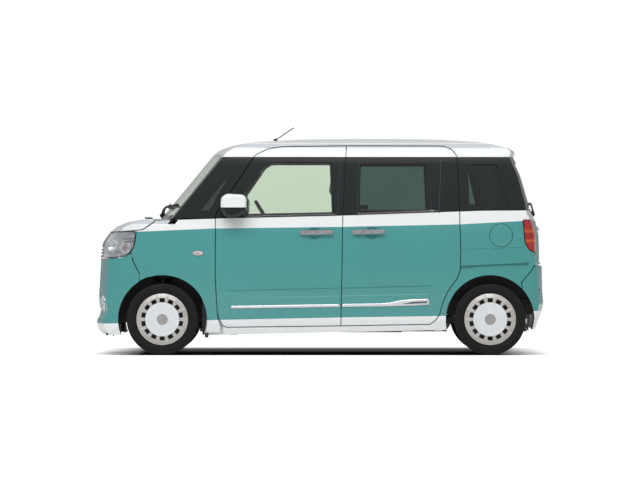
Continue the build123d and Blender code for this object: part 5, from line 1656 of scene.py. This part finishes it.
@dataclass(frozen=True)
class Wheels(Group):
    """Treaded tyres, the ribs of the covers, and panels round the wheel houses."""

    blocks: int = 72
    spokes: int = 14
    half_width: float = 0.0775
    wall_rows: tuple[tuple[float, float], ...] = (
        (0.1965, -0.0600), (0.1985, -0.0660), (0.2040, -0.0700), (0.2120, -0.0738),
        (0.2150, -0.0726), (0.2180, -0.0738), (0.2200, -0.0762), (0.2290, -0.0772),
        (0.2370, -0.0770), (0.2400, -0.0748), (0.2430, -0.0742), (0.2450, -0.0757),
        (0.2520, -0.0735), (0.2600, -0.0690), (0.2645, -0.0640), (0.2668, -0.0590))
    tread_half: float = 0.0570
    tread_edge: float = 0.0575
    rib_half: float = 0.013
    bead_r: float = 0.1900
    bead_y: float = 0.0560
    grooves: tuple[float, ...] = (-0.033, -0.011, 0.011, 0.033)
    groove_depth: float = 0.0065
    groove_half: float = 0.0028
    slot_share: float = 0.75
    slot_half: float = 0.13
    slot_slant: float = 9.0
    crown_drop: float = 0.0010
    rib_depth: float = 0.0060
    bar_bow: float = 0.0035
    bar_reach: tuple[float, float] = (0.1300, 0.1875)
    bar_radii: tuple[float, float] = (0.0052, 0.0030)
    apron_top: float = 0.4245
    apron_low: float = 0.300
    apron_y: float = -0.470
    apron_pitch: float = 0.032
    apron_wave: float = 0.0025

    def tyre(self) -> Shape:
        """Left tyre about the origin: its section turned about Y, with tread grooves.

        The section runs from one bead over the tread to the other and back inside. On
        the tread the radius drops by groove_depth times the larger of two patterns:
        rings at grooves, and slots that slant with the width outside rib_half.

        Returns:
            The points and the quads.
        """
        rows = np.array(self.wall_rows)
        y = np.linspace(-self.tread_half, self.tread_half, 77)
        crown = WHEEL_Z - self.crown_drop * (y / self.tread_half) ** 2
        lip = rows[::-1] * np.array([1.0, -1.0])
        radius = np.r_[rows[:, 0], crown, lip[:, 0]][:, None]
        wide = np.clip(np.r_[rows[:, 1], y, lip[:, 1]], -self.half_width, self.half_width)
        wide = wide[:, None]
        angle = turns(self.blocks * 6)
        ring = np.max([np.exp(-((wide - at) / self.groove_half) ** 4)
                       for at in self.grooves], 0)
        phase = (angle * self.blocks / (2.0 * np.pi)
                 + self.slot_slant * np.abs(wide)) % 1.0
        slot = (self.slot_share * np.exp(-((phase - 0.5) / self.slot_half) ** 6)
                * (np.abs(wide) > self.rib_half))
        radius = radius - (self.groove_depth * (np.abs(wide) < self.tread_edge)
                           * np.maximum(ring, slot))
        bead = np.full((2, len(angle)), self.bead_r)
        radius = np.concatenate([radius, bead, radius[:1]])
        wide = np.concatenate([wide, [[self.bead_y], [-self.bead_y]], wide[:1]])
        points = np.stack([radius * np.cos(angle), np.broadcast_to(wide, radius.shape),
                           radius * np.sin(angle)], -1)
        return points, quads(*radius.shape, True)

    def ribs(self) -> Shape:
        """Bars between the cover's slots, each a closed tube along its spoke.

        Over the share t of its length a bar bows outwards by bar_bow sin(pi t).

        Returns:
            The points and the quads.
        """
        shapes = []
        bow = self.bar_bow * np.sin(np.linspace(0.0, np.pi, 9))[:, None]
        reach = np.linspace(*self.bar_reach, 9)[:, None]
        for k in range(self.spokes):
            turn = 2.0 * math.pi * (k + 0.5) / self.spokes + math.pi / 2.0
            path = (reach * np.array([math.cos(turn), 0.0, math.sin(turn)])
                    + np.array(LEFTWARD) * bow)
            shapes.append(tube(path, *self.bar_radii, LEFTWARD, 10, 0.8))
        return together(shapes)

    def arch_corners(self) -> None:
        """Corner of each front fender between the bumper's seam and the wheel opening."""
        arc = [(FRONT_AXLE_X + FENDER_R * math.cos(a), WHEEL_Z + FENDER_R * math.sin(a))
               for a in np.linspace(math.radians(120.5), math.radians(104.0), 14)]
        line = outline([(-1.3505, 0.606), *arc, (-1.2600, 0.6000), (-1.3000, 0.6080)], 200,
                       0.0015)
        self.pair("front_arch_corner",
                  Skin(("front_fenders", "front_bumper")).dome(line, 0.0004),
                  "paint_two_tone", "body", "paint_teal", 0.0030)

    def aprons(self) -> None:
        """Ribbed liners that close the rear wheel houses over the axle's arms.

        Each panel stands at y = apron_y + apron_wave cos(2 pi x / apron_pitch).
        """
        for word, x0, x1 in (("rear_apron_fore", 0.938, 1.062),
                             ("rear_apron_aft", 1.470, 1.600)):
            x = np.linspace(x0, x1, 60)[:, None]
            v = np.linspace(0.0, 1.0, 14)[None]
            low = self.apron_low + 0.006 * (2.0 * (x - x0) / (x1 - x0) - 1.0) ** 4
            y = self.apron_y + self.apron_wave * np.cos(2.0 * np.pi * x / self.apron_pitch)
            points = np.stack(np.broadcast_arrays(x, y, low + v * (self.apron_top - low)),
                              -1)
            self.pair(word, (points, quads(60, 14)), "cabin_trim", "body", "black_plastic",
                      0.0025)

    def build(self) -> None:
        """Make the panels, and the tyres and cover ribs of the four wheels."""
        self.arch_corners()
        self.aprons()
        tyre, ribs = self.tyre(), self.ribs()
        for end in ("front", "rear"):
            for side in Side:
                wheel_ = f"{end}_{side.word}"
                low, high = (np.array(corner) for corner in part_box(f"tyre_{wheel_}"))
                middle = (low + high) / 2.0
                piece = self.one(f"{wheel_}_tread_tyre", (tyre[0] + middle, tyre[1]),
                                 "tyre_rubber", f"wheel_{wheel_}", "tyre")
                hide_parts(f"tyre_{wheel_}")
                low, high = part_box(f"cover_{wheel_}")
                face = low[1] if side is Side.LEFT else high[1]
                middle[1] = face - side.value * self.rib_depth
                points, faces = on_side(ribs, side)
                self.one(f"{wheel_}_cover_ribs", (points + middle, faces),
                         "cover_rib_silver", f"wheel_{wheel_}", "cover_silver")


@dataclass(frozen=True)
class Cabin(Group):
    """Soft seats and the inner mirror."""

    seat_x: float = -0.783
    frames: int = 20
    pressure: float = 4.0
    stiffness: float = 20.0
    cap: float = 0.024
    around: int = 84
    across: int = 41

    def cushion(self, profile: Line, y0: float, y1: float, soft: float) -> Shape:
        """Crowned closed form: a rounded outline that shrinks towards both sides.

        At the share t of the half width the outline is scaled about its middle by
        (1 - |t|^7)^0.36, so the sides pull in at the corners.

        Args:
            profile: Side outline as (x, z) points.
            y0: One side.
            y1: The other side.
            soft: Rounding of the outline.

        Returns:
            The points and the quads.
        """
        line = outline(profile, self.around, soft)
        middle = line.mean(0)
        t = np.sin(np.linspace(-np.pi / 2.0, np.pi / 2.0, self.across))
        scale = (1.0 - np.abs(t) ** 7) ** 0.36
        grid = middle + scale[:, None, None] * (line - middle)
        y = (y0 + y1) / 2.0 + t * (y1 - y0) / 2.0
        points = np.stack([grid[..., 0], np.broadcast_to(y[:, None], grid.shape[:2]),
                           grid[..., 1]], -1)
        return points, quads(self.across, self.around, True)

    def swell(self, piece: bpy.types.Object) -> None:
        """Swell a closed cushion with cloth pressure, moving no point more than cap.

        Args:
            piece: The closed cushion.
        """
        start = places(piece.data)
        cloth = piece.modifiers.new("swell", "CLOTH")
        cloth.settings.quality = 5
        cloth.settings.use_pressure = True
        cloth.settings.uniform_pressure_force = self.pressure
        cloth.settings.effector_weights.gravity = 0.0
        cloth.settings.tension_stiffness = self.stiffness
        cloth.settings.compression_stiffness = self.stiffness
        cloth.point_cache.frame_start, cloth.point_cache.frame_end = 1, self.frames
        scene = bpy.context.scene
        for number in range(1, self.frames + 1):
            scene.frame_set(number)
        move = final_places(piece) - start
        piece.modifiers.remove(cloth)
        scene.frame_set(1)
        far = np.linalg.norm(move, axis=1, keepdims=True)
        move *= np.minimum(1.0, self.cap / np.maximum(far, 1e-9))
        piece.data.vertices.foreach_set("co", (start + move).ravel())
        piece.data.update()

    def seats(self) -> None:
        """Two front seats and a bench of two: cushion, backrest and headrest each."""
        base: Line = [(0.492, 0.500), (0.480, 0.575), (0.800, 0.568), (0.905, 0.560),
                      (0.905, 0.490)]
        back: Line = [(0.812, 0.585), (0.905, 1.135), (0.972, 1.135), (0.940, 0.560),
                      (0.850, 0.540)]
        head: Line = [(0.856, 1.200), (0.872, 1.338), (0.940, 1.338), (0.952, 1.200)]
        inset, made = 0.014, []
        for end, dx, dz, spans, half in (
                ("front", 0.0, 0.0, ((-0.560, -0.080), (0.080, 0.560)), 0.105),
                ("rear", 0.880, -0.030, ((-0.450, -0.015), (0.015, 0.450)), 0.097)):
            for side, (y0, y1) in zip(Side, spans):
                middle = (y0 + y1) / 2.0
                for part, line, lift, a, b, soft in (
                        ("cushion", base, 0.0, y0 + inset, y1 - inset, 0.030),
                        ("backrest", back, 0.0, y0 + inset, y1 - inset, 0.032),
                        ("headrest", head, dz, middle - half, middle + half, 0.030)):
                    placed = [(self.seat_x + dx + x, z + lift) for x, z in line]
                    piece = piece_of(f"{end}_{side.word}_{part}",
                                     self.cushion(placed, a, b, soft), "seat_cloth")
                    self.swell(piece)
                    finer = piece.modifiers.new("finer", "SUBSURF")
                    finer.levels = finer.render_levels = 1
                    self.fit(piece, "body", "seat_fabric")
                    made.append(piece)
        for piece in made:
            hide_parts("seats")

    def mirror(self) -> None:
        """Inner mirror on its stem, behind the top of the windscreen."""
        path = np.array([(-0.452, t, 1.383) for t in np.linspace(-0.108, 0.108, 15)])
        swell = np.sqrt(np.clip(1.0 - np.linspace(-1.0, 1.0, 15) ** 6, 0.0, 1.0))
        shell = tube(path, 0.012 * swell + 0.001, 0.031 * swell + 0.001, sides=28,
                     power=0.7)
        stem = tube([(-0.456, 0.0, 1.400), (-0.470, 0.0, 1.430), (-0.492, 0.0, 1.452),
                     (-0.512, 0.0, 1.460)], 0.007, 0.007, (0.0, 1.0, 0.0), 12)
        pane = tube(path[1:-1] + np.array([0.0115, 0.0, 0.0]), 0.0016, 0.026 * swell[1:-1],
                    sides=24, power=0.6)
        for name, shape, finish, slot in (
                ("inner_mirror", together([shell, stem]), "black_grained", "black_plastic"),
                ("inner_mirror_pane", pane, "mirror_silver", "aluminium")):
            self.one(name, shape, finish, "body", slot)

    def build(self) -> None:
        """Make the cabin's pieces."""
        self.seats()
        self.mirror()


@dataclass(frozen=True)
class Fittings(Group):
    """Wipers, nozzles, the door mirrors' panes, black flaps and the tailgate's grip."""

    def front_wipers(self) -> None:
        """Two wipers on the windscreen: blade, arm and pivot each."""
        skin = Skin(("windscreen",), aim=-TO_REAR)
        out, shapes = np.array([-0.76, 0.0, 0.65]), []
        t = np.linspace(0.0, 1.0, 12)[:, None]
        for y, reach in ((0.42, -0.56), (-0.12, -0.46)):
            blade = skin.land(swept((AHEAD, y, 1.098), (0.0, reach, 0.022), 14))
            pivot = np.array([-1.205, y + 0.16, 1.050])
            middle = blade[6] + out * 0.024
            arm = pivot + t * (middle - pivot) + out * 0.020 * np.sin(np.pi * t)
            shapes += [tube(blade + out * 0.012, 0.0045, 0.011, tuple(out), 10, 0.7),
                       tube(arm, 0.008 - 0.003 * t[:, 0], 0.006, tuple(out), 10, 0.7),
                       lathe([(0.0, -0.030), (0.017, -0.028), (0.017, 0.006),
                              (0.011, 0.015), (0.0, 0.016)], tuple(pivot),
                             (-0.55, 0.0, 0.83), 24)]
        self.one("front_wipers", together(shapes), "seal_rubber", "body", "black_plastic")

    def rear_wiper(self) -> None:
        """Wiper on the tailgate's pane: blade, arm and pivot."""
        skin = Skin(("tailgate", "tailgate_glass"), aim=TO_REAR)
        out = np.array([0.97, 0.0, 0.24])
        t = np.linspace(0.0, 1.0, 12)[:, None]
        blade = skin.land(swept((BEHIND, 0.06, 1.126), (0.0, -0.38, 0.012), 16))
        pivot = skin.land(np.array([[BEHIND, 0.0, 1.060]]))[0]
        arm = pivot + out * 0.018 + t * (blade[8] - pivot)
        shapes = [tube(blade + out * 0.010, 0.004, 0.009, tuple(out), 10, 0.7),
                  tube(arm, 0.009 - 0.004 * t[:, 0], 0.007, tuple(out), 10, 0.7),
                  lathe([(0.0, -0.006), (0.024, -0.006), (0.022, 0.018), (0.014, 0.026),
                         (0.0, 0.027)], tuple(pivot), tuple(out), 28)]
        self.one("rear_wiper", together(shapes), "seal_rubber", "tailgate",
                 "black_plastic")

    def nozzles(self) -> None:
        """Washer nozzles on the bonnet."""
        rows = [(0.0, -0.004), (0.010, -0.003), (0.009, 0.005), (0.005, 0.009),
                (0.0, 0.0095)]
        shapes = [lathe(rows, (x, -0.26, 1.0262), (0.1, 0.0, 1.0), 20)
                  for x in (-1.318, -1.292)]
        self.pair("washer_nozzles", together(shapes), "seal_rubber", "bonnet",
                  "black_plastic")

    def door_mirrors(self) -> None:
        """Silvered panes in the door mirrors' rear faces."""
        skin = Skin(("mirror_left",), aim=TO_REAR)
        low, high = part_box("mirror_left")
        share = np.linspace(0.0, 1.0, 8)[:, None]
        c, s = (np.sign(part) * np.abs(part) ** 0.6 for part in circle(72).T)
        y = (low[1] + high[1]) / 2.0 - 0.012 + share * 0.038 * c
        points = skin.rear(y, 1.125 + share * 0.048 * s, 0.0015, 0.2)
        self.pair("door_mirror_pane", (points, quads(8, 72, True)), "mirror_silver", "door",
                  "aluminium", 0.003, REARWARD)

    def flaps(self) -> None:
        """Black air flaps under the front bumper and the sills."""
        for word, rows, y, reach, z, count in (
                ("front_flaps", ((-1.600, 0.006, 0.022), (-1.552, 0.006, 0.026),
                                 (-1.505, 0.006, 0.020)), -0.42, -0.20, 0.166, 12),
                ("sill_flap", ((-0.850, 0.014, 0.020),), -0.56, -0.14, 0.150, 10)):
            shapes = [tube(swept((x, y, z), (0.0, reach, 0.0), count), wide, drop,
                           sides=12, power=0.6) for x, wide, drop in rows]
            self.pair(word, together(shapes), "black_grained", "body", "black_plastic")

    def tail_handle(self) -> None:
        """Grip bar across the tailgate under the rear pane."""
        shape = Skin(("tailgate",), aim=TO_REAR).pad(
            (-0.300, 0.925), (0.600, 0.046), 0.013, (0.012, 0.014), (60, 11))
        self.one("tailgate_grip", shape, "bright_plating", "tailgate", "aluminium", 0.010,
                 REARWARD)

    def build(self) -> None:
        """Make the small fittings."""
        self.front_wipers()
        self.rear_wiper()
        self.nozzles()
        self.door_mirrors()
        self.flaps()
        self.tail_handle()


# ------------------------------------------------------------------ studio
@dataclass(frozen=True)
class Studio:
    """Pale floor, white surroundings, soft lamps and the camera."""

    distance: float = 40.0
    height: float = 0.8617
    width: float = 4.878
    floor_size: float = 60.0
    floor_z: float = -0.0005
    glow: float = 0.62
    ambient: tuple[float, float] = (0.27, 0.44)
    # Painted shadow on the floor: ranges of x and y over which it fades, its share and its
    # colour.
    painted_shadow_x: tuple[float, float] = (1.78, 1.34)
    painted_shadow_near: tuple[float, float] = (-0.84, -0.74)
    painted_shadow_far: tuple[float, float] = (2.60, 1.60)
    painted_shadow_share: float = 0.90
    painted_shadow_colour: Colour = (0.02, 0.026, 0.034)

    def camera(self) -> None:
        """Camera square to the left side, at the height of the mirrors."""
        data = bpy.data.cameras.new("camera")
        data.sensor_width = 36.0
        data.lens = data.sensor_width * self.distance / self.width
        data.clip_end = 200.0
        data.dof.use_dof = False
        camera = linked("camera", data)
        camera.location = (0.0, -self.distance, self.height)
        camera.rotation_euler = (math.radians(90.0), 0.0, 0.0)
        bpy.context.scene.camera = camera

    def lamp(self, name: str, at: Point, size: tuple[float, float], power: float) -> None:
        """Rectangular soft lamp that faces the middle of the car.

        Args:
            name: Name of the lamp.
            at: Its place.
            size: Width and height in metres.
            power: Power in watts.
        """
        data = bpy.data.lights.new(name, "AREA")
        data.shape = "RECTANGLE"
        data.size, data.size_y = size
        data.energy = power
        lamp = linked(name, data)
        lamp.location = at
        aim = Vector((0.0, 0.0, 0.7)) - Vector(at)
        lamp.rotation_euler = aim.to_track_quat("-Z", "Y").to_euler()

    def seen(self, tree: Tree) -> object:
        """1 for camera and transmission rays, and for glossy ones a share by slope.

        Args:
            tree: The tree that asks.

        Returns:
            The share's socket.
        """
        path = tree.add("ShaderNodeLightPath").outputs
        first = tree.maths("MAXIMUM", path["Is Camera Ray"], path["Is Transmission Ray"])
        incoming = tree.add("ShaderNodeNewGeometry").outputs["Incoming"]
        level = tree.spread(tree.times(tree.split(incoming)[2], -1.0), *GLOSSY_RISE)
        return tree.maths("MAXIMUM", first, tree.times(path["Is Glossy Ray"], level))

    def floor(self) -> None:
        """Large pale disc, glowing to white away from the car, with a painted shadow under
        it.
        """
        ring = np.pad(circle(64), ((0, 0), (0, 1))) * self.floor_size
        mesh = bpy.data.meshes.new("floor")
        mesh.from_pydata(ring.tolist(), [], [list(range(64))])
        floor = linked("floor", mesh)
        floor.location.z = self.floor_z
        material = bpy.data.materials.new("floor_paper")
        tree = emptied(material)
        here = tree.place()
        x, y, _ = tree.split(here)
        # Painted shadow: a soft box under and behind the car darkens the floor's colour for
        # camera rays and stops its glow.
        patch = tree.times(tree.spread(tree.maths("ABSOLUTE", x), *self.painted_shadow_x),
                           tree.spread(y, *self.painted_shadow_near))
        patch = tree.times(patch, tree.spread(y, *self.painted_shadow_far))
        glow = tree.times(tree.times(self.seen(tree), tree.rest(patch)), self.glow)
        camera = tree.add("ShaderNodeLightPath").outputs["Is Camera Ray"]
        under = tree.times(tree.times(patch, camera), self.painted_shadow_share)
        paper = tree.blend(tree.noise(here, 3.0, 2.0), (0.93, 0.93, 0.93),
                           (0.95, 0.95, 0.95))
        diffuse = tree.add("ShaderNodeBsdfDiffuse",
                           {"Color": tree.blend(under, paper, self.painted_shadow_colour)})
        emission = tree.add("ShaderNodeEmission",
                            {"Color": (1.0, 1.0, 1.0), "Strength": glow})
        both = tree.add("ShaderNodeAddShader",
                        {0: diffuse.outputs[0], 1: emission.outputs[0]})
        tree.add("ShaderNodeOutputMaterial", {0: both.outputs[0]})
        mesh.materials.append(material)

    def surroundings(self) -> None:
        """World: white to the camera and through glass, soft grey as light."""
        world = bpy.data.worlds.new("surroundings")
        tree = emptied(world)
        up = tree.split(tree.place("Generated"))[2]
        ambient = tree.spread(up, -0.1, 0.8, *self.ambient)
        back = tree.add("ShaderNodeBackground",
                        {"Color": (1.0, 1.0, 1.0),
                         "Strength": tree.maths("MAXIMUM", ambient, self.seen(tree))})
        tree.add("ShaderNodeOutputWorld", {0: back.outputs[0]})
        bpy.context.scene.world = world

    def build(self) -> None:
        """Make the whole studio."""
        self.camera()
        self.floor()
        self.surroundings()
        self.lamp("top_lamp", (0.0, -0.6, 9.0), (9.0, 6.0), 45.0)
        self.lamp("side_lamp", (-1.5, -8.0, 7.5), (9.0, 4.0), 530.0)
        self.lamp("far_lamp", (1.5, 8.0, 7.5), (9.0, 4.0), 220.0)
        bpy.context.scene.view_settings.view_transform = "Standard"
        log.info("studio built")


def main() -> None:
    """Build every sub-assembly in order."""
    logging.basicConfig(level=logging.INFO, format="%(name)s: %(message)s")
    for part in (Studio(), FrameDressing(), SideTrim(), LampUnits(), Wheels(), Cabin(),
                 Fittings()):
        part.build()


if __name__ == "__main__":
    main()
